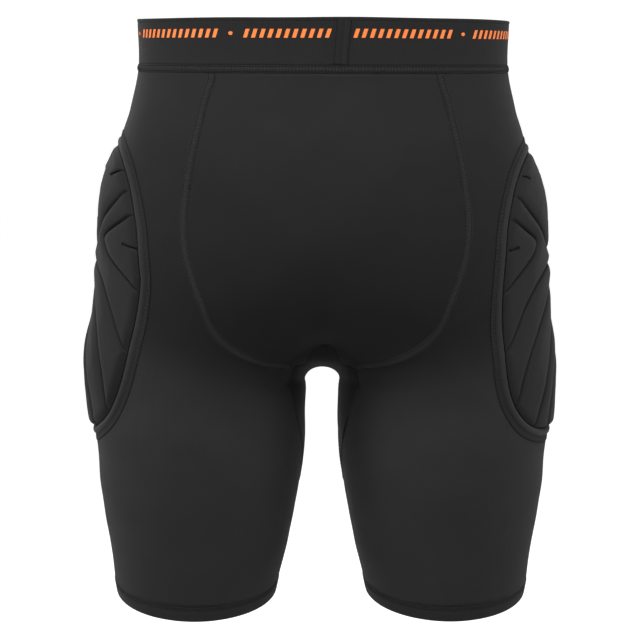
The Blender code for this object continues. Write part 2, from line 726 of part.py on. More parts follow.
def add_hip_pad(name, material, swap):
    """One hip pad: a flat sewn flange and backing with foam blocks raised on it."""
    turns = np.linspace(0, 2 * math.pi, PAD_RIM_COLUMNS, endpoint=False)
    rim = pad_flat([rim_share(angle) for angle in turns], 0.0)
    points, faces = [], []

    def add(flat, lift, triangles, flip=False):
        first = len(points)
        points.extend(pad_place(flat, lift))
        faces.extend(tuple(first + k for k in (face[::-1] if flip else face)) for face in triangles)
        return first

    def add_ring(lower, upper, low_lift, high_lift):
        count = len(lower)
        first = add(np.concatenate([lower, upper]), np.concatenate([low_lift, high_lift]), [])
        faces.extend((first + k, first + (k + 1) % count, first + count + (k + 1) % count,
                      first + count + k) for k in range(count))

    flange_top = PAD_SEAT_GAP + PAD_FLANGE_THICKNESS
    height = PAD_THICKNESS - PAD_FLANGE_THICKNESS
    spare = spare_points(rim, [], PAD_BACKING_STEP, PAD_BACKING_STEP / 2)
    backing, triangles = fill_flat([rim], spare)
    add(backing, PAD_SEAT_GAP, triangles, flip=True)
    add_ring(rim, rim, np.full(len(rim), PAD_SEAT_GAP), np.full(len(rim), flange_top))
    feet = []
    for shares in pad_cells():
        outline = even_loop(pad_flat(shares, PAD_FLANGE), PAD_STEP)
        foot = inset_loop(outline, PAD_GROOVE / 2)[0]
        crown, kept = inset_loop(foot, PAD_SHOULDER)
        wall = foot + (crown - foot) * PAD_WALL_INSET
        wall_lift = flange_top + height * (PAD_WALL_HEIGHT[0] + PAD_WALL_HEIGHT[1] * kept)
        crown_lift = flange_top + height * (PAD_CROWN_HEIGHT[0] + PAD_CROWN_HEIGHT[1] * kept)
        add_ring(foot, wall, np.full(len(foot), flange_top), wall_lift)
        add_ring(wall, crown, wall_lift, crown_lift)
        spare = spare_points(crown, [], PAD_BACKING_STEP, PAD_STEP / 2)
        top, triangles = fill_flat([crown], spare)
        add(top, np.concatenate([crown_lift, np.full(len(spare), flange_top + height)]), triangles)
        feet.append(foot)
    spare = spare_points(rim, feet, PAD_BACKING_STEP, PAD_STEP / 2)
    ground, triangles = fill_flat([rim, *feet], spare)
    add(ground, flange_top, triangles)
    points = np.array(points)
    if swap:
        points = mirrored(points)
    return add_solid(name, points, faces, material)


def main():
    """Build every piece of the shorts."""
    for thing in list(bpy.data.objects):
        bpy.data.objects.remove(thing)
    knit = new_material("charcoal_knit", 0.030, 0.80)
    lower_knit = new_material("dark_knit", 0.022, 0.85)
    elastic = new_material("black_elastic", 0.026, 0.75)
    thread = new_material("seam_thread", 0.036, 0.80)
    foam = new_material("covered_foam", 0.034, 0.85)
    add_waistband(elastic)
    add_waistband_seam(thread)
    add_seat_panel(knit)
    leg = leg_grid()
    for side, swap in (("left", False), ("right", True)):
        add_panel("leg_panel_" + side, leg, True, knit, swap)
        add_hem("hem_" + side, thread, swap)
        add_hip_pad("hip_pad_" + side, foam, swap)
    add_panel("crotch_gusset", gusset_grid(), False, lower_knit)


main()
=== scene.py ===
"""Looks of the padded hip-protection shorts: cloth, seams, stitches, print and pads.

Every piece is laid on the body form that the CAD solids follow, in metres, with
+Z up and the wearer facing -Y.  The wearer's left is +X.
"""

import math

import bpy
import numpy as np
from mathutils import Matrix, Vector


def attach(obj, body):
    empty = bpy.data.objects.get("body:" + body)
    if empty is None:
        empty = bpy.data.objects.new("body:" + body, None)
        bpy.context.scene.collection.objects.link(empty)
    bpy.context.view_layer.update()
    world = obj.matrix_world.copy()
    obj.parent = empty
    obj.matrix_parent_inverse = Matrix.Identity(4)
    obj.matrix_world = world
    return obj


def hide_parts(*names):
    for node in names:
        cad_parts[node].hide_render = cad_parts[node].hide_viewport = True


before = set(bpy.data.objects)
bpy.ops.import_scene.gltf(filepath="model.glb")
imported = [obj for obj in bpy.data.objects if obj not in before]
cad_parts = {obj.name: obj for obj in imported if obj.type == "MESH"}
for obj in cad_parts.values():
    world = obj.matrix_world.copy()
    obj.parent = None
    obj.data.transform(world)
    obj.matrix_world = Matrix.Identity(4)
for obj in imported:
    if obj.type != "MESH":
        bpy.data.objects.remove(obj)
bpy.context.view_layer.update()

# Body form, as the CAD source has it
WAIST_HALF_WIDTH = 0.1427
WAIST_BACK = 0.104
WAIST_FRONT = 0.106
HIP_HALF_WIDTH = 0.1755
SEAT_BACK = 0.131
BELLY_FRONT = 0.110
CROTCH_DROP = 0.2535
LEG_LENGTH = 0.1755
LEG_GAP = 0.0250
THIGH_BACK = 0.098
THIGH_FRONT = 0.096
HEM_GAP = 0.0712
HEM_WIDTH = 0.124
HEM_BACK = 0.066
HEM_FRONT = 0.071
HEM_TILT = math.radians(10.0)
HIP_SECTIONS = (
    # drop, flare, bulge, belly
    (-0.08, 0.00, 0.00, 0.00),
    (0.10, 0.00, 0.03, 0.10),
    (0.20, 0.18, 0.26, 0.40),
    (0.28, 0.35, 0.48, 0.65),
    (0.38, 0.48, 0.72, 0.90),
    (0.48, 0.62, 0.90, 1.00),
    (0.60, 0.73, 1.00, 1.00),
    (0.72, 0.79, 0.93, 0.80),
    (0.84, 0.87, 0.70, 0.20),
    (0.94, 0.94, 0.42, -0.40),
    (1.05, 0.99, 0.05, -1.20),
    (1.20, 1.00, -0.25, -2.00),
)
LEG_SECTIONS = (
    # fall, part, narrow, taper
    (-0.80, 0.00, 0.00, -0.55),
    (-0.30, 0.00, 0.00, -0.45),
    (0.00, 0.00, 0.00, 0.00),
    (0.34, 0.05, 0.01, 0.34),
    (0.50, 0.19, 0.18, 0.53),
    (0.61, 0.35, 0.32, 0.64),
    (0.72, 0.52, 0.51, 0.75),
    (0.83, 0.71, 0.72, 0.84),
    (0.94, 0.91, 0.86, 0.94),
    (1.06, 1.10, 1.10, 1.05),
)
HIP_ROUNDNESS = 2.2
LEG_ROUNDNESS = 2.0
PARTING_TOP = 0.47
PARTING_POWER = 2.2
PARTING_AT_CROTCH = 0.954
CENTRE_ROUNDING = 0.0105

# Cloth, band, seam and hem sizes, as the CAD source has them
CLOTH = 0.0015
BAND_TOP = 0.0176
BAND_FOOT = -0.0169
BAND_HEIGHT = BAND_TOP - BAND_FOOT
BAND_THICKNESS = 0.0022
SEAM_HEIGHT = 0.0058
HEM_HEIGHT = 0.0120
PANEL_GAP = 0.0003
CLOTH_TOP = SEAM_HEIGHT + PANEL_GAP - BAND_FOOT

# Seat seam, gusset and front, close to the CAD source; the gusset's half width, the arch and
# the last rows of the seam are the scene's own, as the photograph shows them
SEAT_TOP_HALF_WIDTH = 0.0834
SEAT_HALF_WIDTH = 0.1043
GUSSET_HALF_WIDTH = 0.0205
GUSSET_FRONT_HALF_WIDTH = 0.0060
GUSSET_TONGUE = 0.0900
GUSSET_PIVOT = 0.0090
GUSSET_REACH = 0.0600
GUSSET_TIP_ANGLE = math.radians(2.0)
SEAT_SEAM = (
    # drop, spread
    (0.105, 0.03),
    (0.190, 0.35),
    (0.270, 0.58),
    (0.350, 0.76),
    (0.440, 0.94),
    (0.530, 1.02),
    (0.610, 0.94),
    (0.690, 0.68),
    (0.765, 0.38),
    (0.830, 0.12),
    (0.870, -0.22),
    (0.905, -0.65),
    (0.938, -1.30),
    (0.965, -2.00),
    (0.988, -3.01),
)
ARCH_DROP = 0.922
ARCH_NARROWNESS = 0.36
FRONT_ARCH_DROP = 0.930
FRONT_CORNER_DROP = 0.934

# Hip pad: place and size are close to the CAD source; the outline of each side and the
# grooves follow the photograph
PAD_DROP = 0.185
PAD_PIVOT = 0.050
PAD_WRAP = 0.118
PAD_FLANGE = 0.006
PAD_FRONT_WIDTH = 0.088
PAD_SIDES = {
    # side: width towards the back, half height, rise and shift of the middle, roundness of
    # the top and of the bottom, lean
    "left": (0.0960, 0.1145, -0.0027, -0.0018, 2.35, 3.9, 0.21),
    "right": (0.0985, 0.1118, -0.0040, 0.0018, 2.6, 3.8, 0.04),
}
GROOVE_SPREAD = {"left": 1.0, "right": 0.72}
GROOVE_END = 0.102
PAD_SWELL = {
    # side: up from the middle, height
    "left": ((-0.060, 0.0036), (0.078, 0.0034)),
    "right": ((0.072, 0.0030), (-0.060, 0.0004)),
}
SWELL_REACH = 0.036
LEAN_START = 0.012
LEAN_WIDTH = 0.06
PAD_GROOVES = (
    # (towards the back, up) from the pad's middle, in millimetres; the front half is the mirror
    ((90, 96), (75, 81), (60, 68), (40, 53), (14, 34), (0, 28)),
    ((102, 74), (90, 65), (71, 54), (54, 46), (46, 42), (43.5, 38), (48, 31), (66, 19.5), (82, 8.5),
     (102, -8)),
    ((0, 21), (17, 18), (34, 12), (48, 4), (62, -9.5), (76, -27), (88, -42), (98, -56)),
    ((0, 8), (14, 0), (38, -20), (52, -34), (62, -48), (70, -64), (75, -84), (78, -104)),
    ((0, -14), (12, -26), (30, -58), (44, -85), (54, -112)),
    ((0, -42), (12, -58), (21, -80), (27, -112)),
)
PAD_STUBS = (
    # from (back, up), to (back, up)
    ((68, 96), (45, 86)),
    ((104, 30), (75, 37)),
)
PAD_RECESS = ((21, 55), (19, 88), (-19, 88), (-21, 55))

# Pad relief: foam height over the flange, how wide a block's round edge is, the
# half width of a groove, and how much of the height its steep wall takes
FOAM_HEIGHT = 0.0072
FOAM_TOP_FADE = 0.018
FOAM_ROUNDING = 0.0090
RIM_ROUNDING = 0.0050
RIM_RAMP = 0.030
RIM_SHARE = 0.52
GROOVE_HALF_WIDTH = 0.0016
GROOVE_SHARE = 0.50
PAD_EDGE = (
    # depth inside the rim, lift, both in millimetres
    (-4.9, -0.10),
    (-4.7, 0.40),
    (-4.2, 0.60),
    (-3.6, 0.30),
    (-2.85, 0.62),
    (-2.1, 0.30),
    (-1.35, 0.62),
    (-0.6, 0.28),
    (0.0, 0.75),
    (0.5, 1.45),
    (1.2, 2.00),
    (2.3, 2.25),
    (3.4, 2.20),
    (4.3, 1.80),
    (5.0, 1.10),
    (5.5, 0.60),
)
PIPING_FIRST = 8
FOAM_FOOT = 0.0006
FOAM_TOP_LEAST = 0.45
RIM_POWER = 2.4
RAMP_POWER = 0.7
RECESS_SHARE = 0.82
RECESS_GROOVE = 0.5
RECESS_EDGE = 0.004
STUB_DEPTH = 0.95
STUB_WIDTH = 0.008
# Soft unevenness of the blocks (height, waves across and up), and fine wrinkles in the grooves
# (height, waves across and up along a wrinkle, waves up between wrinkles)
SWELL_WAVES = (0.0003, 95, 80)
WRINKLE = (0.00022, 420, 260, 190)
WRINKLE_SHARE = 1.15
# Step and lift of the dark cords laid in the pads' grooves: painted shade
GROOVE_SHADE_STEP = 0.0024
GROOVE_SHADE_LIFT = 0.0005
PAD_STITCH_LINES = (-0.0051, -0.0036, -0.0021, -0.0006)
PAD_STITCH_LIFT = 0.00032
PAD_STITCH_SHARE = 0.78
BACKING_DEPTH = 0.0004
# How much higher a stub's second dark cord lies, as painted shade
STUB_SHADE_RISE = 0.0008
PAD_COLUMNS = 660
PAD_RINGS = 98

# The wearer's sides, and whether a piece is mirrored there
SIDES = (("left", False), ("right", True))

# Mesh density
HALVINGS = 26
OUTERMOST = 2 * SEAT_BACK
SLOPE_STEP = 0.0005
FACING_STEP = 0.0045
RING_COLUMNS = 420
SEAT_COLUMNS = 96
SEAT_ROWS = 90
LEG_ROWS = 104
LEG_ROW_SPREAD = 1.25
TONGUE_SPREAD = 1.5
WAIST_COLUMNS = 84
FRONT_COLUMNS = 44
ARCH_COLUMNS = 28
TONGUE_COLUMNS = 26
SEAM_COLUMNS = 66
GUSSET_ROWS = 30


def track(rows, column, at):
    """Read a column of a table at any level, on a smooth curve through its rows."""
    levels = np.array([row[0] for row in rows])
    values = np.array([row[column] for row in rows])
    slopes = np.gradient(values, levels)
    at = np.clip(at, levels[0], levels[-1])
    low = np.clip(np.searchsorted(levels, at, side="right") - 1, 0, len(levels) - 2)
    span = levels[low + 1] - levels[low]
    t = (at - levels[low]) / span
    return ((1 + 2 * t) * (1 - t) ** 2 * values[low] + t * (1 - t) ** 2 * span * slopes[low]
            + t * t * (3 - 2 * t) * values[low + 1] + t * t * (t - 1) * span * slopes[low + 1])


def bell(distance, width, power=2):
    """One at no distance, falling smoothly to nothing."""
    return np.exp(-(distance / width) ** power)


def hip_size(z):
    """Half width, back depth and front depth of the hip section at a height."""
    drop = -z / CROTCH_DROP
    half_width = WAIST_HALF_WIDTH + (HIP_HALF_WIDTH - WAIST_HALF_WIDTH) * track(HIP_SECTIONS, 1, drop)
    back = WAIST_BACK + (SEAT_BACK - WAIST_BACK) * track(HIP_SECTIONS, 2, drop)
    front = WAIST_FRONT + (BELLY_FRONT - WAIST_FRONT) * track(HIP_SECTIONS, 3, drop)
    return half_width, back, front


def leg_size(z):
    """Inner side, outer side, back depth and front depth of a leg section."""
    fall = (-z - CROTCH_DROP) / LEG_LENGTH
    inner = LEG_GAP / 2 + (HEM_GAP - LEG_GAP) / 2 * track(LEG_SECTIONS, 1, fall)
    hem_outer = HEM_GAP / 2 + HEM_WIDTH
    outer = hip_size(z)[0] - (HIP_HALF_WIDTH - hem_outer) * track(LEG_SECTIONS, 2, fall)
    taper = track(LEG_SECTIONS, 3, fall)
    back = THIGH_BACK + (HEM_BACK - THIGH_BACK) * taper
    front = THIGH_FRONT + (HEM_FRONT - THIGH_FRONT) * taper
    return inner, outer, back, front


def leg_axis(z):
    """The x of the leg's middle line at a height."""
    inner, outer = leg_size(z)[:2]
    return (inner + outer) / 2


def from_centre(x):
    """Distance from the centre plane, rounded off close to it so that cloth spans it."""
    distance = np.abs(x)
    return np.where(distance < CENTRE_ROUNDING, (x * x / CENTRE_ROUNDING + CENTRE_ROUNDING) / 2, distance)


def body(points):
    """Signed measure of the body form: below zero inside and above zero outside."""
    x, y, z = points[..., 0], points[..., 1], points[..., 2]
    half_width, back, front = hip_size(z)
    depth = np.where(y > 0, back, front)
    hips = ((np.abs(x) / half_width) ** HIP_ROUNDNESS
            + (np.abs(y) / depth) ** HIP_ROUNDNESS) ** (1 / HIP_ROUNDNESS) - 1
    inner, outer, leg_back, leg_front = leg_size(z)
    leg_half = (outer - inner) / 2
    leg_depth = np.where(y > 0, leg_back, leg_front)
    legs = ((np.abs(from_centre(x) - (inner + outer) / 2) / leg_half) ** LEG_ROUNDNESS
            + (np.abs(y) / leg_depth) ** LEG_ROUNDNESS) ** (1 / LEG_ROUNDNESS) - 1
    top = PARTING_TOP * CROTCH_DROP
    end = top + (CROTCH_DROP - top) / PARTING_AT_CROTCH
    parting = np.clip((-z - top) / (end - top), 0, 1) ** PARTING_POWER
    return (1 - parting) * hips * front + parting * legs * leg_half


def slope_of(points):
    """Gradient of the body measure at an array of points."""
    return np.stack([body(points + step) - body(points - step) for step in SLOPE_STEP * np.eye(3)],
                    axis=-1) / (2 * SLOPE_STEP)


def unit(vectors):
    """The same directions at length one."""
    return vectors / np.maximum(np.linalg.norm(vectors, axis=-1, keepdims=True), 1e-12)


def normal(points):
    """Outward unit normals of the body form."""
    return unit(slope_of(points))


def settle(points):
    """Move points along the body's slope until they lie on its surface."""
    for _ in range(3):
        slope = slope_of(points)
        points = points - slope * (body(points) / np.sum(slope ** 2, axis=-1))[..., None]
    return points


def reach(origin, direction, far, near=0.0, sense=1):
    """Walk along directions, between two distances, to where the body form ends; with the
    sense -1, to where it begins."""
    near = np.broadcast_to(near, direction.shape[:-1]).astype(float)
    far = np.broadcast_to(far, direction.shape[:-1]).astype(float)
    for _ in range(HALVINGS):
        middle = (near + far) / 2
        short = sense * body(origin + direction * middle[..., None]) < 0
        near = np.where(short, middle, near)
        far = np.where(short, far, middle)
    return origin + direction * near[..., None]


def spokes(angle, z, centre):
    """Origins on an upright line, at each height, and level directions by angle."""
    angle, z, centre = np.broadcast_arrays(np.asarray(angle, float), z, centre)
    return (np.stack([centre, 0 * angle, z], axis=-1),
            np.stack([np.cos(angle), np.sin(angle), 0 * angle], axis=-1))


def around_leg(angle, z):
    """Surface points by angle round the leg's middle line; they stop at the centre plane."""
    origin, direction = spokes(angle, z, leg_axis(np.asarray(z, float)))
    to_plane = origin[..., 0] / np.maximum(-direction[..., 0], 1e-6)
    return reach(origin, direction, np.minimum(to_plane, OUTERMOST))


def facing(x, z, side):
    """Surface points at given x and z, on the back (side +1) or the front (side -1)."""
    x, z = np.broadcast_arrays(np.asarray(x, float), np.asarray(z, float))
    origin = np.stack([x, 0 * x, z], axis=-1)
    direction = np.broadcast_to((0.0, side, 0.0), origin.shape)
    near = 0 * x
    for depth in np.arange(0, OUTERMOST, FACING_STEP):
        near = np.where(body(origin + direction * depth) < 0, depth, near)
    return reach(origin, direction, near + FACING_STEP, near)


def leg_angle(points):
    """Angle of points round the leg's middle line, falling from the back over the side."""
    angle = np.arctan2(points[..., 1], points[..., 0] - leg_axis(points[..., 2]))
    return np.unwrap(angle)


def mirrored(points):
    """The same points on the wearer's other side."""
    return points * np.array([-1.0, 1.0, 1.0])


def run_lengths(line):
    """Distance along a line at each of its points."""
    return np.concatenate([[0], np.cumsum(np.linalg.norm(np.diff(line, axis=0), axis=1))])


def spaced(line, count):
    """Points that part a line into a count of even steps."""
    lengths = run_lengths(line)
    at = np.linspace(0, lengths[-1], count + 1)
    return np.stack([np.interp(at, lengths, column) for column in line.T], axis=1)


def even_run(line, step, closed=False):
    """Points spaced evenly along a line, about a step apart."""
    if closed:
        line = np.concatenate([line, line[:1]])
    line = spaced(line, max(2, int(round(run_lengths(line)[-1] / step))))
    return line[:-1] if closed else line


def rounded(line, passes=2):
    """The line with its corners cut, its ends kept."""
    line = np.asarray(line, float)
    for _ in range(passes):
        near = line[:-1] * 0.75 + line[1:] * 0.25
        far = line[:-1] * 0.25 + line[1:] * 0.75
        line = np.concatenate([line[:1], np.stack([near, far], axis=1).reshape(-1, line.shape[1])[1:-1],
                               line[-1:]])
    return line


# Seam lines and edges

def seat_seam_line(count):
    """The seat seam on the wearer's left, from the waist down to the gusset."""
    drops = np.linspace(CLOTH_TOP / CROTCH_DROP, SEAT_SEAM[-1][0], 4 * count)
    spread = track(SEAT_SEAM, 1, drops)
    x = SEAT_TOP_HALF_WIDTH + (SEAT_HALF_WIDTH - SEAT_TOP_HALF_WIDTH) * spread
    x, z = spaced(np.stack([np.maximum(x, GUSSET_HALF_WIDTH), -drops * CROTCH_DROP], axis=1), count).T
    return facing(x, z, 1)


def arch_share(across):
    """Fall of the arch from its middle to its corners: steep by the middle, then level."""
    return 1 - np.exp(-np.abs(across / ARCH_NARROWNESS) ** 3)


def arch_line(side, columns):
    """Gusset edge across the centre, between its two corners, at the back or front."""
    across = np.linspace(-1, 1, columns + 1)
    if side > 0:
        half_width, middle, corner = GUSSET_HALF_WIDTH, ARCH_DROP, SEAT_SEAM[-1][0]
        share = arch_share(across)
    else:
        half_width, middle, corner = GUSSET_FRONT_HALF_WIDTH, FRONT_ARCH_DROP, FRONT_CORNER_DROP
        share = across ** 2
    z = -CROTCH_DROP * (middle + (corner - middle) * share)
    return facing(across * half_width, z, side)


def tongue_line(corner, side):
    """Gusset edge from a corner down the inner thigh to the tongue's tip."""
    t = np.linspace(0, 1, TONGUE_COLUMNS + 1)[1:] ** TONGUE_SPREAD
    start = leg_angle(corner[None])[0] % (2 * math.pi)
    tip = math.pi - side * GUSSET_TIP_ANGLE
    z = corner[2] - GUSSET_TONGUE * t
    return around_leg(start + (tip - start) * t, z)


def front_seam_line(count):
    """The centre front seam, from the waist down to the gusset."""
    z = np.linspace(-CLOTH_TOP, -FRONT_ARCH_DROP * CROTCH_DROP, count + 1)
    return facing(0 * z, z, -1)


def hem_level(y):
    """Height of the hem's lower edge, which falls towards the back."""
    return -CROTCH_DROP - LEG_LENGTH - math.tan(HEM_TILT) * y


def hem_ring(angles, rise):
    """A ring round the leg parallel to the hem's lower edge, raised by a height."""
    z = np.full_like(angles, -CROTCH_DROP - LEG_LENGTH + rise)
    for _ in range(5):
        ring = around_leg(angles, z)
        z = hem_level(ring[:, 1]) + rise
    return around_leg(angles, z)


# Relief of worn cloth: what the smooth body form leaves out

RIPPLES = (
    # wavelength, amplitude, both in millimetres, and the direction across the ripple
    (61.0, 0.35, (0.30, 0.20, 0.93)),
    (43.0, 0.22, (-0.45, 0.35, 0.82)),
    (27.0, 0.10, (0.70, 0.10, 0.70)),
    (19.0, 0.06, (-0.62, -0.30, 0.72)),
)
FOLD_LEVEL = -0.2470
FOLD_RISE = 0.0550
FOLD_ABOVE = 0.0350
FOLD_BELOW = 0.0500
FOLD_DEPTH = 0.0095
THIGH_SWELL = (-0.335, 0.050, 0.0030)
FOLD_WIDTH = (0.145, 0.070)
GAP_TOP = -0.2540
GAP_SIZE = (0.0150, 0.0075)
GAP_RISE = 0.0042
CREASES = (
    # middle (x, y side, z), run direction in x and z, half length, width, depth; millimetres
    ((93.0, 1, -107.0), (1.00, -0.04), 13.0, 1.3, 0.70),
    ((-85.0, 1, -108.0), (1.00, 0.06), 10.0, 1.3, 0.60),
    ((60.0, 1, -244.0), (0.90, 0.40), 22.0, 4.0, 0.45),
    ((-64.0, 1, -245.0), (0.90, -0.40), 22.0, 4.0, 0.45),
)
RIPPLE_PHASE = 1.7
SWAY = (31.0, 23.0)
SWAY_PHASE = 2.1
CALM_TOP = -0.026
CALM_FOOT = -0.425
CALM_REACH = 0.03
CREASE_SWELL = 0.6


def relief(points):
    """How far the worn cloth stands off the body form, in metres."""
    x, y, z = points[..., 0], points[..., 1], points[..., 2]
    lift = 0 * x
    for number, (wavelength, amplitude, across) in enumerate(RIPPLES):
        phase = points @ np.array(across) * (2000 * math.pi / wavelength) + RIPPLE_PHASE * number
        sway = np.sin(x * SWAY[0] + SWAY_PHASE * number) + np.sin(z * SWAY[1] + number)
        lift = lift + amplitude / 1000 * np.sin(phase + sway)
    calm = np.clip((CALM_TOP - z) / CALM_REACH, 0, 1) * np.clip((z - CALM_FOOT) / CALM_REACH, 0, 1)
    behind = np.clip(y / FOLD_WIDTH[1], 0, 1) ** 2
    over = z - FOLD_LEVEL - FOLD_RISE * (x / FOLD_WIDTH[0]) ** 2
    fold = bell(over, np.where(over > 0, FOLD_ABOVE, FOLD_BELOW)) * bell(x, FOLD_WIDTH[0], 4)
    level, half_height, swell = THIGH_SWELL
    lift = lift * calm - FOLD_DEPTH * fold * behind + swell * behind * bell(z - level, half_height)
    lift = lift - GAP_RISE * bell(x, GAP_SIZE[0], 6) * bell(z - GAP_TOP, GAP_SIZE[1])
    for (middle_x, side, middle_z), run, half_length, width, depth in CREASES:
        offset_x, offset_z = x * 1000 - middle_x, z * 1000 - middle_z
        across = offset_z * run[0] - offset_x * run[1]
        mark = CREASE_SWELL * bell(across - 2 * width, 1.5 * width) - bell(across, width)
        mark = mark * bell(offset_x * run[0] + offset_z * run[1], half_length)
        lift = lift + np.where(y * side > 0, depth / 1000, 0.0) * mark
    return lift


# Painted light and shade on the cloth at the back, by height: lighter thighs, a darker lower seat and fold
PAINTED_TONE_BY_HEIGHT = (
    # height of the cloth at the back, tone over the knit's own: painted light above nought, painted shade
    # below
    (-0.440, 0.20),
    (-0.360, 0.32),
    (-0.290, 0.38),
    (-0.268, 0.15),
    (-0.248, -0.34),
    (-0.215, -0.44),
    (-0.180, -0.38),
    (-0.140, -0.29),
    (-0.100, -0.17),
    (-0.065, 0.00),
)
# Painted shade by the inner thighs: middle, width and share of the painted light taken off there; then the
# light at which the whole share goes
INNER_TONE = (0.020, 0.014, 0.45)
INNER_TONE_FULL = 0.3
# The painted tone rises towards the sides by TONE_RISE; painted light begins behind y LIGHT_FROM, painted
# shade behind DARK_FROM, both full over TONE_REACH
TONE_RISE = 0.030
LIGHT_FROM = 0.02
DARK_FROM = -0.01
TONE_REACH = 0.05


def painted_light_and_shade(points):
    """Painted light and shade over the knit's own tone: lighter thighs, a darker lower seat and fold under
    it.
    """
    height = points[..., 2] - TONE_RISE * np.minimum(points[..., 0] / FOLD_WIDTH[0], 1) ** 2
    tone = track(PAINTED_TONE_BY_HEIGHT, 1, height)
    middle, width, depth = INNER_TONE
    inner = bell(np.abs(points[..., 0]) - middle, width)
    tone = tone - depth * inner * np.clip(tone, 0, INNER_TONE_FULL) / INNER_TONE_FULL
    return tone * np.clip((points[..., 1] - np.where(tone > 0, LIGHT_FROM, DARK_FROM)) / TONE_REACH, 0, 1)


def lay(points, lift):
    """Points settled on the worn cloth and lifted off it."""
    points = settle(points)
    return points + normal(points) * (relief(points) + lift)[..., None]


# Mesh builders

def add_object(name, data):
    """A new object in the scene that holds some data."""
    made = bpy.data.objects.new(name, data)
    bpy.context.scene.collection.objects.link(made)
    return made


def add_mesh(name, points, faces, places, material, swap=False):
    """A smooth piece that rides on the shorts; each vertex also gets a flat place on the cloth."""
    points = np.asarray(points, float).reshape(-1, 3)
    if swap:
        points = mirrored(points)
        faces = [face[::-1] for face in faces]
    mesh = bpy.data.meshes.new(name)
    mesh.from_pydata(points.tolist(), [], faces)
    layer = mesh.uv_layers.new(name="cloth")
    corners = np.zeros(len(mesh.loops), int)
    mesh.loops.foreach_get("vertex_index", corners)
    layer.data.foreach_set("uv", np.asarray(places, float).reshape(-1, 2)[corners].ravel())
    mesh.shade_smooth()
    mesh.materials.append(material)
    piece = add_object(name, mesh)
    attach(piece, "root")
    return piece


def grid_faces(rows, columns, closed_rows=False, closed_columns=False, first=0):
    """Quads of a grid of vertices, which may close on itself either way."""
    row = np.arange(rows if closed_rows else rows - 1)[:, None]
    column = np.arange(columns if closed_columns else columns - 1)[None]
    below = (row + 1) % rows
    after = (column + 1) % columns
    quads = np.stack([row * columns + column, row * columns + after,
                      below * columns + after, below * columns + column], axis=-1)
    return (first + quads.reshape(-1, 4)).tolist()


def fan_faces(first, columns, centre):
    """Triangles from a closed ring of vertices to one in its middle."""
    return [[first + k, first + (k + 1) % columns, centre] for k in range(columns)]


def add_cloth(name, grid, places, material, closed, swap=False):
    """A cloth wall whose outer face is the grid, laid on the body."""
    rows, columns = grid.shape[:2]
    across = normal(grid)
    rise = relief(grid)[..., None]
    outer, inner = grid + across * rise, grid + across * (rise - CLOTH)
    faces = grid_faces(rows, columns, False, closed)
    middle = rows // 2 * columns + columns // 2
    corner = outer.reshape(-1, 3)[faces[middle]]
    looks = np.cross(corner[1] - corner[0], corner[2] - corner[0])
    turned = looks @ across.reshape(-1, 3)[middle] <= 0
    back = rows * columns
    faces += [[back + k for k in face[::-1]] for face in faces]
    number = np.arange(back).reshape(rows, columns)
    if closed:
        edges = [number[0], number[-1, ::-1]]
    else:
        edges = [np.concatenate([number[0], number[1:, -1], number[-1, -2::-1], number[-2:0:-1, 0]])]
    for edge in edges:
        after = np.roll(edge, -1)
        faces += np.stack([edge, back + edge, back + after, after], axis=1).tolist()
    if turned:
        faces = [face[::-1] for face in faces]
    piece = add_mesh(name, np.stack([outer, inner]), faces, np.stack([places, places]), material, swap)
    # Painted light and shade on each vertex, which scales the knit's colour
    tone = piece.data.attributes.new("painted_light_and_shade", "FLOAT", "POINT")
    tone.data.foreach_set("value", np.tile(painted_light_and_shade(grid).ravel(), 2))
    return piece


def add_sweep(name, sections, material, closed, swap=False):
    """A closed profile carried along a line: sections are (profile points, places, 3)."""
    rows, columns = sections.shape[:2]
    faces = grid_faces(rows, columns, True, closed)
    corner = sections[:, 0] - sections[:, 0].mean(axis=0)
    ahead = sections[0, 1] - sections[0, 0]
    turn = np.sum(np.cross(corner, np.roll(corner, -1, axis=0)) @ ahead)
    if not closed:
        faces += [[k * columns for k in range(rows)],
                  [k * columns + columns - 1 for k in range(rows)][::-1]]
    if turn > 0:
        faces = [face[::-1] for face in faces]
    places = np.stack(np.broadcast_arrays(run_lengths(sections[0])[None],
                                          run_lengths(sections[:, 0])[:, None]), axis=-1)
    return add_mesh(name, sections, faces, places, material, swap)


def sideways_of(line):
    """Directions across a line, in the body's surface."""
    ahead = np.concatenate([line[1:2] - line[:1], line[2:] - line[:-2], line[-1:] - line[-2:-1]])
    return unit(np.cross(unit(ahead), normal(line)))


SEAM_FOOT = -0.5


def add_strip(name, line, profile, material, swap=False, place=lay):
    """A flat seam along a line: profile rows are (across, lift) in millimetres, left to right."""
    sideways = sideways_of(line)
    rows = [(profile[0][0], SEAM_FOOT), *profile, (profile[-1][0], SEAM_FOOT)]
    sections = [place(line + sideways * across / 1000, lift / 1000) for across, lift in rows]
    return add_sweep(name, np.array(sections), material, False, swap)


THREADS = {
    # kind: radius, rise in the middle, how deep the ends sink
    "thick": (0.00040, 0.00012, 0.00004),
    "thick on ring": (0.00040, 0.00015, 0.00004),
    "fine": (0.00030, 0.00012, 0.00004),
    "fine on ring": (0.00030, 0.00015, 0.00004),
    # dark cords in the pads' grooves: painted shade
    "groove_shade": (0.00078, 0.0, 0.0),
}
THREAD_RINGS = 4
THREAD_SIDES = 4
THREAD_TIP = 0.55


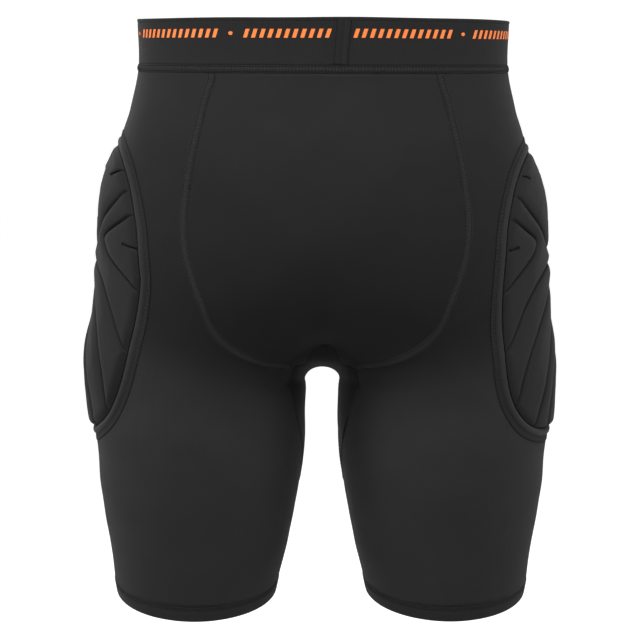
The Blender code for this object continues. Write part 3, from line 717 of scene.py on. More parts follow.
def add_threads(name, rows, kind, material, swap=False):
    """Short threads that rise out of the cloth and sink back; rows are (starts, ends)."""
    starts, ends = (np.concatenate(points) for points in zip(*rows))
    radius, bow, sink = THREADS[kind]
    across = normal((starts + ends) / 2)
    run = ends - starts
    side = unit(np.cross(across, run))
    t = np.linspace(0, 1, THREAD_RINGS)
    arch = np.sin(math.pi * t)
    turn = np.linspace(0, 2 * math.pi, THREAD_SIDES, endpoint=False)
    centre = (starts[:, None] + run[:, None] * t[None, :, None]
              + across[:, None] * (bow * arch - sink)[None, :, None])
    width = radius * (THREAD_TIP + (1 - THREAD_TIP) * arch)
    ring = (np.cos(turn)[None, None, :, None] * side[:, None, None]
            + np.sin(turn)[None, None, :, None] * across[:, None, None])
    points = centre[:, :, None] + ring * width[None, :, None, None]
    size = THREAD_RINGS * THREAD_SIDES
    template = [*grid_faces(THREAD_RINGS, THREAD_SIDES, False, True),
                list(range(THREAD_SIDES))[::-1], list(range(size - THREAD_SIDES, size))]
    faces = [[first + k for k in face] for first in range(0, size * len(starts), size) for face in template]
    places = np.zeros((len(starts), THREAD_RINGS, THREAD_SIDES, 2))
    places[..., 0] = (t * np.linalg.norm(run, axis=-1)[:, None])[:, :, None]
    places[..., 1] = turn * radius
    return add_mesh(name, points, faces, places, material, swap)


STITCH = 0.0023
STITCH_GAP = 0.0007
LADDER_PITCH = 0.0018
LADDER_REACH = 0.0019
LADDER_SLANT = 0.0006
LADDER_LIFT = 0.00045


def stitch_row(line, across, lift):
    """Ends of a row of stitches beside a line."""
    half_pitch = (STITCH + STITCH_GAP) / 2
    line = even_run(line + sideways_of(line) * across, half_pitch)
    line = line[:len(line) // 2 * 2]
    starts, ends = line[0::2], line[1::2]
    over = (ends - starts) * (STITCH / half_pitch - 1) / 2
    return lay(starts - over, lift), lay(ends + over, lift)


def ladder_row(line):
    """Ends of the threads that cross a seam, a little slanted."""
    line = even_run(line, LADDER_PITCH)
    side = sideways_of(line)
    ahead = unit(np.cross(normal(line), side))
    return (lay(line - side * LADDER_REACH, LADDER_LIFT),
            lay(line + side * LADDER_REACH + ahead * LADDER_SLANT, LADDER_LIFT))


def ring_stitches(run, lift):
    """Ends of a row of stitches, from each point of a closed run towards the next."""
    lifted = run + normal(run) * lift
    return lifted, lifted + unit(np.roll(run, -1, axis=0) - run) * STITCH


# Materials

WAVE_UNIT = math.pi / 10
WEAVE = {"Distortion": 0.6, "Detail": 1.0, "Detail Scale": 1.5}
GRAIN_PITCHES = 2.2
GRAIN_SHARE = 0.6
# Painted shade and light on the weave: colour darker by up to this share in its hollows, lighter on its tops
VALLEY_SHADE = 0.30


def fill(tree, node, inputs):
    """Set a node's inputs: a socket is linked and anything else is the input's value."""
    for name, value in inputs.items():
        if isinstance(value, bpy.types.NodeSocket):
            tree.links.new(value, node.inputs[name])
        else:
            node.inputs[name].default_value = value


def add_node(tree, kind, output, inputs, **settings):
    """A new shader node with its settings and inputs; gives back one of its outputs."""
    node = tree.nodes.new("ShaderNode" + kind)
    for name, value in settings.items():
        setattr(node, name, value)
    fill(tree, node, inputs)
    return node.outputs[output]


def new_material(name):
    """A new material with its node tree and its shader."""
    material = bpy.data.materials.new(name)
    material.use_nodes = True
    return material, material.node_tree, material.node_tree.nodes["Principled BSDF"]


def cloth_material(name, shade, pitch, bump, mottle=0.16, roughness=0.8, sheen=0.05, ratio=0.8):
    """Knitted cloth: wales and courses at a pitch, fine grain and soft mottling, painted shade in the
    weave's hollows and a piece's painted light and shade.
    """
    material, tree, shader = new_material(name)
    place = add_node(tree, "UVMap", "UV", {}, uv_map="cloth")
    solid = add_node(tree, "TexCoord", "Object", {})
    wales = add_node(tree, "TexWave", "Fac", {"Vector": place, "Scale": WAVE_UNIT / pitch, **WEAVE},
                     wave_type="BANDS", bands_direction="X")
    courses = add_node(tree, "TexWave", "Fac",
                       {"Vector": place, "Scale": WAVE_UNIT / (pitch * ratio), **WEAVE},
                       wave_type="BANDS", bands_direction="Y")
    grain = add_node(tree, "TexNoise", "Fac", {"Vector": solid, "Scale": 1 / (GRAIN_PITCHES * pitch),
                                               "Detail": 3.0, "Roughness": 0.6})
    patches = add_node(tree, "TexNoise", "Fac", {"Vector": solid, "Scale": 28.0, "Detail": 4.0,
                                                 "Roughness": 0.55})
    weave = add_node(tree, "Math", "Value", {0: wales, 1: courses}, operation="MULTIPLY")
    height = add_node(tree, "Math", "Value", {0: grain, 1: GRAIN_SHARE, 2: weave}, operation="MULTIPLY_ADD")
    tone = add_node(tree, "Mix", "Result", {"Factor": patches, "A": (*[shade * (1 - mottle)] * 3, 1),
                                            "B": (*[shade * (1 + mottle)] * 3, 1)}, data_type="RGBA")
    # Painted shade in the weave's hollows and light on its tops, mixed with the grain's own uneven tone
    hollow_shade = add_node(tree, "MapRange", "Result", {"Value": height, "From Min": 0.0, "From Max": 1.2,
                                                 "To Min": 1 - VALLEY_SHADE, "To Max": 1 + VALLEY_SHADE})
    # The vertex attribute is painted light and shade: the colour level is scaled by one plus it
    worn = add_node(tree, "Attribute", "Fac", {}, attribute_name="painted_light_and_shade")
    level = add_node(tree, "Math", "Value", {0: hollow_shade, 1: worn, 2: hollow_shade}, operation="MULTIPLY_ADD")
    colour = add_node(tree, "Mix", "Result", {"Factor": 1.0, "A": tone, "B": level}, data_type="RGBA",
                      blend_type="MULTIPLY")
    raised = add_node(tree, "Bump", "Normal", {"Strength": 1.0, "Distance": bump, "Height": height})
    fill(tree, shader, {"Base Color": colour, "Normal": raised, "Roughness": roughness,
                        "Specular IOR Level": 0.13, "Sheen Weight": sheen, "Sheen Roughness": 0.45,
                        "Sheen Tint": (0.9, 0.9, 0.9, 1)})
    return material


def print_material(name, colour):
    """A soft printed ink: slightly uneven colour, with the weave showing through."""
    material, tree, shader = new_material(name)
    solid = add_node(tree, "TexCoord", "Object", {})
    grain = add_node(tree, "TexNoise", "Fac", {"Vector": solid, "Scale": 900.0, "Detail": 2.0})
    tone = add_node(tree, "Mix", "Result", {"Factor": grain, "A": (*(c * 0.86 for c in colour), 1),
                                            "B": (*(min(1.0, c * 1.1) for c in colour), 1)},
                    data_type="RGBA")
    raised = add_node(tree, "Bump", "Normal", {"Strength": 0.6, "Distance": 0.0001, "Height": grain})
    fill(tree, shader, {"Base Color": tone, "Normal": raised, "Roughness": 0.62})
    return material


knit = cloth_material("charcoal_knit", 0.0120, 0.00075, 0.00010)
foam_cover = cloth_material("foam_cover_knit", 0.0145, 0.00085, 0.00010, roughness=0.85)
elastic = cloth_material("black_elastic", 0.0125, 0.00110, 0.00012, ratio=0.6, mottle=0.06)
seam_cloth = cloth_material("seam_cloth", 0.0125, 0.00075, 0.00008)
tape = cloth_material("pad_tape", 0.0185, 0.00070, 0.00008, sheen=0.08)
# A darker copy of the charcoal knit for the gusset: painted shade between the legs
gusset_shaded_knit = cloth_material("dark_knit", 0.0048, 0.00075, 0.00010)
# Black thread for stitches, also used for the dark cords in the pads' grooves, which are painted shade
thread = cloth_material("black_thread_and_groove_shade", 0.0030, 0.00035, 0.00004, roughness=0.7, sheen=0.02)
ladder = cloth_material("grey_thread", 0.0215, 0.00035, 0.00004, roughness=0.6)
orange = print_material("orange_print", (0.85, 0.19, 0.03))


# Cloth panels

SEAT_SPREAD = 1.15
LEG_RADIUS = 0.09
HEM_TURN = math.radians(38.0)


def add_seat():
    """The seat between its two curved seams, ending in the arch over the gusset."""
    seam = seat_seam_line(SEAT_ROWS)
    across = np.linspace(-1, 1, SEAT_COLUMNS + 1)
    progress = np.linspace(0, 1, len(seam))[:, None]
    middle = seam[0, 2] + (-ARCH_DROP * CROTCH_DROP - seam[0, 2]) * progress
    share = across ** 2 + (arch_share(across) - across ** 2) * progress ** 4
    grid = facing(across * seam[:, :1], middle + (seam[:, 2:] - middle) * share, 1)
    places = grid[..., ::2] * (SEAT_SPREAD, 1)
    piece = add_cloth("seat_cloth", grid, places, knit, False)
    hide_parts("seat_panel")


def leg_edge():
    """The closed upper edge of a leg panel: waist, front seam, gusset and seat seam."""
    seam = seat_seam_line(SEAM_COLUMNS)
    front = front_seam_line(FRONT_COLUMNS)
    arch = arch_line(-1, ARCH_COLUMNS)[ARCH_COLUMNS // 2:]
    front_tongue = tongue_line(arch[-1], -1)
    back_tongue = tongue_line(seam[-1], 1)
    start = leg_angle(seam[:1])[0]
    finish = math.atan2(front[0, 1], -leg_axis(front[0, 2]))
    angles = np.linspace(start, finish, WAIST_COLUMNS + 1)
    waist = around_leg(angles, np.full_like(angles, -CLOTH_TOP))
    return np.concatenate([waist[:-1], front[:-1], arch, front_tongue,
                           back_tongue[::-1], seam[:0:-1]])


def leg_grid():
    """Surface grid of a leg panel, from its upper edge down to the hem."""
    edge = leg_edge()
    upper = leg_angle(edge)
    even = upper[0] - 2 * math.pi * np.arange(len(edge)) / len(edge)
    share = np.cumsum(np.linalg.norm(np.diff(edge, axis=0, append=edge[:1]), axis=1))
    by_length = upper[0] - 2 * math.pi * np.concatenate([[0], share[:-1]]) / share[-1]
    lower = (even + by_length) / 2 - HEM_TURN
    ring = hem_ring(lower, HEM_HEIGHT)
    t = np.linspace(0, 1, LEG_ROWS + 1)[:, None] ** LEG_ROW_SPREAD
    grid = around_leg(upper * (1 - t) + lower * t, edge[:, 2] * (1 - t) + ring[:, 2] * t)
    grid[0], grid[-1] = edge, ring
    return grid


def add_legs():
    """The two leg panels, from the waist and the seams down to the hems."""
    grid = leg_grid()
    places = np.stack([leg_angle(grid) * LEG_RADIUS, grid[..., 2]], axis=-1)
    for side, swap in SIDES:
        piece = add_cloth("leg_cloth_" + side, grid, places, knit, True, swap)
        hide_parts("leg_panel_" + side)


def between_legs(points):
    """Turn and depth (x-z angle, y) of surface points seen from the gap between the legs."""
    height = points[..., 2] + CROTCH_DROP + GUSSET_PIVOT
    over = np.arctan2(points[..., 0], np.maximum(height, 0))
    below = np.sign(points[..., 0]) * np.maximum(-height, 0) / LEG_GAP
    return np.stack([over + below, points[..., 1]], axis=-1)


def from_between(turns):
    """Surface points by turn and depth: the reverse of between_legs."""
    turn, y = turns[..., 0], turns[..., 1]
    over = np.clip(turn, -math.pi / 2, math.pi / 2)
    origin = np.stack([0 * y, y, -CROTCH_DROP - GUSSET_PIVOT - np.abs(turn - over) * LEG_GAP], axis=-1)
    direction = np.stack([np.sin(over), 0 * y, np.cos(over)], axis=-1)
    return reach(origin, direction, GUSSET_REACH, sense=-1)


def gusset_edges():
    """The gusset's back and front edges, from one tongue's tip to the other's."""
    edges = []
    for side in (1, -1):
        arch = arch_line(side, ARCH_COLUMNS)
        tongue = tongue_line(arch[-1], side)
        edges.append(np.concatenate([mirrored(tongue[::-1]), arch, tongue]))
    return edges


def add_gusset():
    """The saddle between the legs, with a tongue down each inner thigh."""
    edges = gusset_edges()
    t = np.linspace(0, 1, GUSSET_ROWS + 1)[:, None, None]
    grid = from_between(between_legs(edges[0])[None] * (1 - t) + between_legs(edges[1])[None] * t)
    grid[0], grid[-1] = edges
    # The gusset is drawn in the darker knit, as painted shade between the legs
    piece = add_cloth("gusset_cloth", grid, grid[..., 1:], gusset_shaded_knit, False)
    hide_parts("crotch_gusset")


# Seams

def mirrored_profile(half):
    """A symmetrical profile from its right half, whose first row is the middle."""
    return (*((-across, lift) for across, lift in half[:0:-1]), *half)


FLAT_SEAM = mirrored_profile((
    # across, lift, in millimetres
    (0.0, 0.50),
    (1.4, 0.46),
    (2.1, 0.34),
    (2.45, 0.08),
    (2.8, 0.24),
    (3.2, 0.22),
    (3.5, 0.00),
))
PLAIN_SEAM = mirrored_profile((
    # across, lift, in millimetres
    (0.0, 0.04),
    (0.5, 0.22),
    (1.2, 0.25),
    (1.5, 0.00),
))
NEEDLE_LINE = 0.00255
SEAM_STEP = 0.0022
FLAT_STITCH_LIFT = 0.00016
PLAIN_STITCH_LIFT = 0.0001


def add_flat_seam(name, line, swap=False):
    """A flat seam: the raised strip, its two needle lines and the thread across it."""
    line = even_run(line, SEAM_STEP)
    add_strip(name, line, FLAT_SEAM, seam_cloth, swap)
    rows = [stitch_row(line, NEEDLE_LINE * side, FLAT_STITCH_LIFT) for side in (-1, 1)]
    add_threads(name + "_thread", rows, "thick", thread, swap)
    add_threads(name + "_ladder", [ladder_row(line)], "fine", ladder, swap)


def add_seams():
    """The seat, gusset and front seams."""
    seam = seat_seam_line(160)
    back, front = gusset_edges()
    half = len(back) // 2
    inseam = np.concatenate([seam[-2:], tongue_line(seam[-1], 1), front[half:][::-1][1:]])
    inseam = even_run(inseam, SEAM_STEP)
    stitches = stitch_row(inseam, 0.0, PLAIN_STITCH_LIFT)
    for side, swap in SIDES:
        add_flat_seam("seat_seam_" + side, seam[:-1], swap)
        add_strip("thigh_seam_" + side, inseam, PLAIN_SEAM, seam_cloth, swap)
        add_threads("thigh_thread_" + side, [stitches], "thick", thread, swap)
    arch = even_run(arch_line(1, 48)[2:-2], SEAM_STEP)
    add_strip("back_arch_seam", arch, PLAIN_SEAM, thread)
    add_flat_seam("front_seam", front_seam_line(120)[:-2])


WAIST_SEAM = (
    # height over the seam's lower edge, lift, in millimetres
    (0.0, -0.05),
    (0.15, 0.25),
    (0.6, 0.30),
    (0.9, 0.10),
    (1.3, 0.45),
    (2.7, 0.60),
    (4.3, 0.45),
    (4.7, 0.10),
    (5.2, 0.35),
    (5.6, 0.30),
    (5.8, -0.05),
)
WAIST_STITCH_LINES = (0.0009, 0.0048)
WAIST_STITCH_LIFT = 0.00018
WAIST_PITCH = 0.0024
# Height over the seam's lower edge, rise, slant and lift of the threads across the waist seam
WAIST_LADDER = (0.0013, 0.0030, 0.0003, 0.0005)


def waist_ring(z, columns=RING_COLUMNS):
    """A ring of surface points round the waist at one height, starting at the back join."""
    angles = np.linspace(0, 2 * math.pi, columns, endpoint=False) + math.pi / 2
    return reach(*spokes(angles, z, 0.0), OUTERMOST)


def add_waist_seam():
    """The stitched seam under the band, with a ladder of thread round it."""
    low = BAND_FOOT - SEAM_HEIGHT
    sections = []
    for height, lift in [(WAIST_SEAM[0][0], -CLOTH * 1000), *WAIST_SEAM, (WAIST_SEAM[-1][0], -CLOTH * 1000)]:
        ring = waist_ring(low + height / 1000)
        sections.append(ring + normal(ring) * lift / 1000)
    piece = add_sweep("waist_seam", np.array(sections), seam_cloth, True)
    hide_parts("waistband_seam")
    rows = [ring_stitches(even_run(waist_ring(low + height), STITCH + STITCH_GAP, True), WAIST_STITCH_LIFT)
            for height in WAIST_STITCH_LINES]
    add_threads("waist_seam_thread", rows, "thick on ring", thread)
    height, rise, slant, lift = WAIST_LADDER
    foot = even_run(waist_ring(low + height), WAIST_PITCH, True)
    head = settle(foot + (0, 0, rise) + unit(np.roll(foot, -1, axis=0) - foot) * slant)
    rows = [(foot + normal(foot) * lift, head + normal(head) * lift)]
    add_threads("waist_seam_ladder", rows, "fine on ring", ladder)


# Waistband

BAND_EDGE = 0.0026
BAND_ROLL = 0.0008
BAND_RIB = 0.0016
BAND_RIB_DEPTH = 0.00005
BAND_WAVE = 0.0004
BAND_BOW = 0.0009
BAND_EDGE_LIFT = 0.00025
BAND_ROUND = (0.15, 0.85)
# Depth and width of the groove under the rolled edge, and of the one at the band's foot
BAND_GROOVE = (0.00022, 0.0003)
BAND_FOOT_GROOVE = (0.0004, 0.0005)


def band_lift(rise):
    """Relief of the band's outer face at a height over its lower edge."""
    top = BAND_HEIGHT - BAND_EDGE
    ribs = BAND_RIB_DEPTH * np.cos(2 * math.pi * rise / BAND_RIB)
    return (ribs + np.where(rise > top, BAND_EDGE_LIFT, 0.0)
            - BAND_GROOVE[0] * bell(rise - top, BAND_GROOVE[1])
            - BAND_FOOT_GROOVE[0] * bell(rise, BAND_FOOT_GROOVE[1]))


def top_sway(points):
    """The slight waviness of a worn band's top edge."""
    turn = np.arctan2(points[..., 1], points[..., 0])
    wave = BAND_WAVE * (np.sin(3 * turn + 0.7) + 0.6 * np.sin(7 * turn + 2.0)) / 1.6
    return wave - BAND_BOW * np.cos(2 * turn)


def on_band(points, lift):
    """Points settled on the band's outer face and lifted off it."""
    points = settle(points)
    rise = points[..., 2] - BAND_FOOT
    out = normal(points) * (band_lift(rise) + lift)[..., None]
    out[..., 2] += top_sway(points) * np.clip(rise / BAND_HEIGHT, 0, 1) ** 2
    return points + out


def add_band():
    """The elastic band with its rolled top edge and fine ribs."""
    edge, roll = BAND_HEIGHT - BAND_EDGE, BAND_HEIGHT - BAND_ROLL
    rises = np.concatenate([np.arange(0, edge, BAND_RIB / 3), np.linspace(edge, roll, 8)])
    sections = [on_band(waist_ring(rise + BAND_FOOT), 0.0) for rise in rises]
    top = waist_ring(BAND_TOP - BAND_ROLL)
    for turn in np.linspace(*BAND_ROUND, 6) * math.pi:
        lifted = on_band(top, BAND_THICKNESS / 2 * (math.cos(turn) - 1))
        sections.append(lifted + (0, 0, BAND_ROLL * math.sin(turn)))
    for rise in np.linspace(roll, 0, 14):
        ring = waist_ring(rise + BAND_FOOT)
        inner = ring - normal(ring) * BAND_THICKNESS
        inner[:, 2] += top_sway(ring) * (rise / BAND_HEIGHT) ** 2
        sections.append(inner)
    piece = add_sweep("waist_elastic", np.array(sections), elastic, True)
    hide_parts("waistband")


BAND_JOIN = (
    # across, lift, in millimetres
    (-6.4, 0.00),
    (-6.1, 0.30),
    (-0.7, 0.42),
    (-0.15, 0.02),
    (0.15, 0.02),
    (0.7, 0.48),
    (5.6, 0.34),
    (5.9, 0.00),
)
JOIN_TOP = (-0.0125, BAND_TOP - 0.0015)
JOIN_FOOT = (-0.0098, BAND_FOOT + 0.0006)
JOIN_STITCH_LINES = (-0.0055, 0.0050)
JOIN_STITCH_LIFT = 0.00038
JOIN_STITCH_GAP = 0.22


def add_band_join():
    """The band's two ends, butted at the centre back and stitched down."""
    x, z = np.linspace(JOIN_TOP, JOIN_FOOT, 40).T
    line = facing(x, z, 1)
    add_strip("band_join", line, BAND_JOIN, elastic, place=on_band)
    rows = []
    for across in JOIN_STITCH_LINES:
        run = even_run(line + sideways_of(line) * across, STITCH)
        ends = run[1:] + (run[:-1] - run[1:]) * JOIN_STITCH_GAP
        rows.append((on_band(run[:-1], JOIN_STITCH_LIFT), on_band(ends, JOIN_STITCH_LIFT)))
    add_threads("band_join_thread", rows, "thick", thread)


PRINT_MIDDLE = 0.0061
PRINT_HEIGHT = 0.0063
PRINT_STROKE = 0.0029
PRINT_LEAN = 0.0021
PRINT_MARKS = 14
PRINT_PERIODS = 7
PRINT_LAST_RUN = 0.075
PRINT_GAP = 0.0183
PRINT_DOT = 0.0017
PRINT_DOT_HEIGHT = 0.8
PRINT_FOOT = 0.0002
PRINT_THICKNESS = 0.00016
PRINT_END = 0.0003


def print_outlines(total):
    """Flat outlines (along, up) of the slanted marks, and of the dots between their runs."""
    period = (total - PRINT_LAST_RUN) / PRINT_PERIODS
    pitch = (period - PRINT_GAP) / PRINT_MARKS
    half, lean, high = PRINT_STROKE / 2, PRINT_LEAN / 2, PRINT_HEIGHT / 2
    mark = np.array([(-half - lean, -high), (half - lean, -high), (half + lean, high), (lean - half, high)])
    turns = np.linspace(0, 2 * math.pi, 12, endpoint=False)
    dot = PRINT_DOT * np.stack([np.cos(turns), PRINT_DOT_HEIGHT * np.sin(turns)], axis=1)
    shapes = [((number + 0.5) * pitch, mark) for number in range(PRINT_MARKS)]
    shapes.append((period - PRINT_GAP / 2, dot))
    return [shape + (run * period + at, 0) for run in range(PRINT_PERIODS + 1) for at, shape in shapes
            if run * period + at < total - pitch]


def add_print():
    """Runs of slanted printed marks parted by dots, round the band from its join."""
    ring = waist_ring(PRINT_MIDDLE, 1440)
    start = int(np.argmin(np.abs(ring[:, 0] - JOIN_TOP[0]) + 1.0 * (ring[:, 1] < 0)))
    ring = np.roll(ring, -start, axis=0)
    ring = np.concatenate([ring, ring[:1]])
    lengths = run_lengths(ring)
    points, faces = [], []
    for outline in print_outlines(lengths[-1]):
        at = np.clip(outline[:, 0], PRINT_END, lengths[-1] - PRINT_END)
        foot = np.stack([np.interp(at, lengths, column) for column in ring.T], axis=1)
        foot[:, 2] += outline[:, 1]
        count, first = len(outline), len(points)
        points.extend(on_band(foot, -PRINT_FOOT))
        points.extend(on_band(foot, PRINT_THICKNESS))
        lower = list(range(first, first + count))
        upper = [k + count for k in lower]
        faces += [upper, lower[::-1]]
        faces += [[lower[k - 1], lower[k], upper[k], upper[k - 1]] for k in range(count)]
    points = np.array(points)
    sample = points[faces[0]]
    out = np.cross(sample[1] - sample[0], sample[2] - sample[0])
    if np.dot(out, normal(sample[:1])[0]) < 0:
        faces = [face[::-1] for face in faces]
    piece = add_mesh("band_print", points, faces, points[:, ::2], orange)
    for polygon in piece.data.polygons:
        polygon.use_smooth = False


# Hems

HEM_PROFILE = (
    # height over the hem's lower edge, lift, in millimetres
    (12.0, 0.00),
    (11.8, 0.28),
    (11.3, 0.32),
    (10.8, 0.10),
    (10.3, 0.38),
    (9.6, 0.40),
    (9.1, 0.12),
    (8.6, 0.42),
    (7.0, 0.52),
    (4.5, 0.56),
    (2.2, 0.54),
    (0.9, 0.40),
    (0.2, -0.05),
    (-0.05, -0.80),
    (0.2, -1.50),
    (0.9, -1.95),
    (2.5, -2.05),
    (6.0, -2.00),
    (9.0, -1.95),
    (11.6, -1.60),
)
HEM_STITCH_LINES = (0.0108, 0.0091)
HEM_STITCH_LIFT = 0.0002
# Depth, waves round the leg, and the level and width of the ruffled part in millimetres
HEM_RUFFLE = (0.00006, 140, 9, 3)


def add_hems():
    """The turned hems, each held by two rows of stitches."""
    angles = np.linspace(0, 2 * math.pi, RING_COLUMNS, endpoint=False)
    depth, waves, level, width = HEM_RUFFLE
    sections = []
    for height, lift in HEM_PROFILE:
        ring = hem_ring(angles, height / 1000)
        ruffle = depth * np.sin(angles * waves) * bell(height - level, width)
        sections.append(ring + normal(ring) * (lift / 1000 + ruffle)[:, None])
    runs = [even_run(hem_ring(angles, height), STITCH + STITCH_GAP, True) for height in HEM_STITCH_LINES]
    rows = [ring_stitches(settle(run), HEM_STITCH_LIFT) for run in runs]
    for side, swap in SIDES:
        piece = add_sweep("hem_fold_" + side, np.array(sections), knit, True, swap)
        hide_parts("hem_" + side)
        add_threads("hem_thread_" + side, rows, "thick on ring", thread, swap)


# Hip pads

def pad_rim(side):
    """The pad's outline as evenly spaced flat points (towards the back, up), in metres."""
    back_width, half_height, _, _, top_roundness, bottom_roundness, _ = PAD_SIDES[side]
    angle = np.linspace(0, 2 * math.pi, 2880, endpoint=False)
    power = 2 / np.where(np.sin(angle) > 0, top_roundness, bottom_roundness)
    across = np.sign(np.cos(angle)) * np.abs(np.cos(angle)) ** power
    up = np.sign(np.sin(angle)) * np.abs(np.sin(angle)) ** power * half_height
    width = np.where(across > 0, back_width, PAD_FRONT_WIDTH)
    rim = leaned(np.stack([across * width, up], axis=-1), side)
    length = np.linalg.norm(np.diff(rim, axis=0, append=rim[:1]), axis=1).sum()
    return even_run(rim, length / PAD_COLUMNS, True)


def leaned(flat, side):
    """Flat points moved as this side's pad was sewn: raised, and leaning forward below."""
    rise, shift, _, _, lean = PAD_SIDES[side][2:]
    back = np.minimum(flat[..., 1] - LEAN_START, 0) * lean * np.clip(flat[..., 0] / LEAN_WIDTH, -1, 1)
    return np.stack([flat[..., 0] + back + shift, flat[..., 1] + rise], axis=-1)


def pad_place(flat, lift):
    """Points on the body for flat pad points (across, up), lifted off the cloth."""
    points = reach(*spokes(flat[:, 0] / PAD_WRAP, flat[:, 1] - PAD_DROP, PAD_PIVOT), OUTERMOST)
    return points + normal(points) * (relief(points) + lift)[:, None]


def groove_lines(lines, side):
    """Lines of the back half as this side's pad has them, each with its mirror on the front half."""
    front = PAD_FRONT_WIDTH / PAD_SIDES["right"][0]
    found = []
    for line in lines:
        line = np.array(line, float) / 1000
        line[:, 0] = GROOVE_END * (line[:, 0] / GROOVE_END) ** GROOVE_SPREAD[side]
        found += [line, line * (-front, 1)]
    return found


def distance_to(points, line, closed=False):
    """Distance of flat points to a line, and how far along it the nearest point is, 0 to 1."""
    if closed:
        line = np.concatenate([line, line[:1]])
    best = np.full(len(points), 1.0)
    along = np.zeros(len(points))
    lengths = np.linalg.norm(np.diff(line, axis=0), axis=1)
    total, done = lengths.sum(), 0.0
    for start, finish, length in zip(line, line[1:], lengths):
        run = finish - start
        t = np.clip(((points - start) @ run) / (length * length), 0, 1)
        gap = np.linalg.norm(points - start - t[:, None] * run, axis=1)
        closer = gap < best
        best = np.where(closer, gap, best)
        along = np.where(closer, (done + t * length) / total, along)
        done += length
    return best, along


def inside_outline(points, outline):
    """True for flat points inside a closed outline."""
    inside = np.zeros(len(points), bool)
    for start, finish in zip(outline, np.roll(outline, -1, axis=0)):
        if start[1] == finish[1]:
            continue
        crosses = (start[1] > points[:, 1]) != (finish[1] > points[:, 1])
        at = start[0] + (points[:, 1] - start[1]) * (finish[0] - start[0]) / (finish[1] - start[1])
        inside ^= crosses & (at > points[:, 0])
    return inside


def block_edge(distance, width):
    """Height share of a foam block: a steep wall at the groove, then a soft round shoulder."""
    wall = np.clip(distance / GROOVE_HALF_WIDTH, 0, 1)
    shoulder = np.clip(distance / width, 0, 1)
    return GROOVE_SHARE * wall ** 2 * (3 - 2 * wall) + (1 - GROOVE_SHARE) * np.sqrt(1 - (1 - shoulder) ** 2)


def foam_lift(flat, side, rim):
    """Height of the foam over the flange's foot at flat points."""
    x, up = flat[:, 0], flat[:, 1]
    inset = distance_to(flat, rim[::3], True)[0]
    share = 1 - (1 - np.clip(inset / RIM_ROUNDING, 0, 1)) ** RIM_POWER
    for line in groove_lines(PAD_GROOVES, side):
        gap = distance_to(flat, leaned(rounded(line), side))[0]
        share = np.minimum(share, block_edge(gap, FOAM_ROUNDING))
    recess = leaned(np.array(PAD_RECESS) / 1000, side)
    edge = block_edge(distance_to(flat, recess, True)[0], RECESS_EDGE)
    share = share * np.where(inside_outline(flat, recess), RECESS_SHARE, 1 - RECESS_GROOVE * (1 - edge))
    for line in groove_lines(PAD_STUBS, side):
        gap, along = distance_to(flat, leaned(line, side))
        share = share * (1 - STUB_DEPTH * (1 - along ** 3) * (1 - block_edge(gap, STUB_WIDTH)))
    height, waves_x, waves_up = SWELL_WAVES
    swell = height * np.sin(x * waves_x + 1.0) * np.sin(up * waves_up)
    sway = 2.2 * np.sin(up * 70 + 0.4) + 1.3 * np.sin(x * 110)
    height, waves_x, waves_up, waves_across = WRINKLE
    wrinkle = np.sin(x * waves_x + up * waves_up + sway) * np.sin(up * waves_across + sway)
    swell = swell + height * wrinkle * (WRINKLE_SHARE - share)
    below_top = np.clip((rim[:, 1].max() - up) / FOAM_TOP_FADE, 0, 1)
    for level, height in PAD_SWELL[side]:
        swell = swell + height * bell(up - level, SWELL_REACH)
    ramp = RIM_SHARE + (1 - RIM_SHARE) * np.clip(inset / RIM_RAMP, 0, 1) ** RAMP_POWER
    return share * ramp * (FOAM_HEIGHT * (FOAM_TOP_LEAST + (1 - FOAM_TOP_LEAST) * below_top) + swell)


def groove_shade_row(line, side, foam_rim, closed=False):
    """Ends of the short dark runs that lie in the bottom of a groove, within the foam: painted shade."""
    run = even_run(line, GROOVE_SHADE_STEP, closed)
    if not closed:
        run = run[inside_outline(run, foam_rim[::6])]
    placed = pad_place(run, foam_lift(run, side, foam_rim) + FOAM_FOOT + GROOVE_SHADE_LIFT)
    if closed:
        return placed, np.roll(placed, -1, axis=0)
    return placed[:-1], placed[1:]


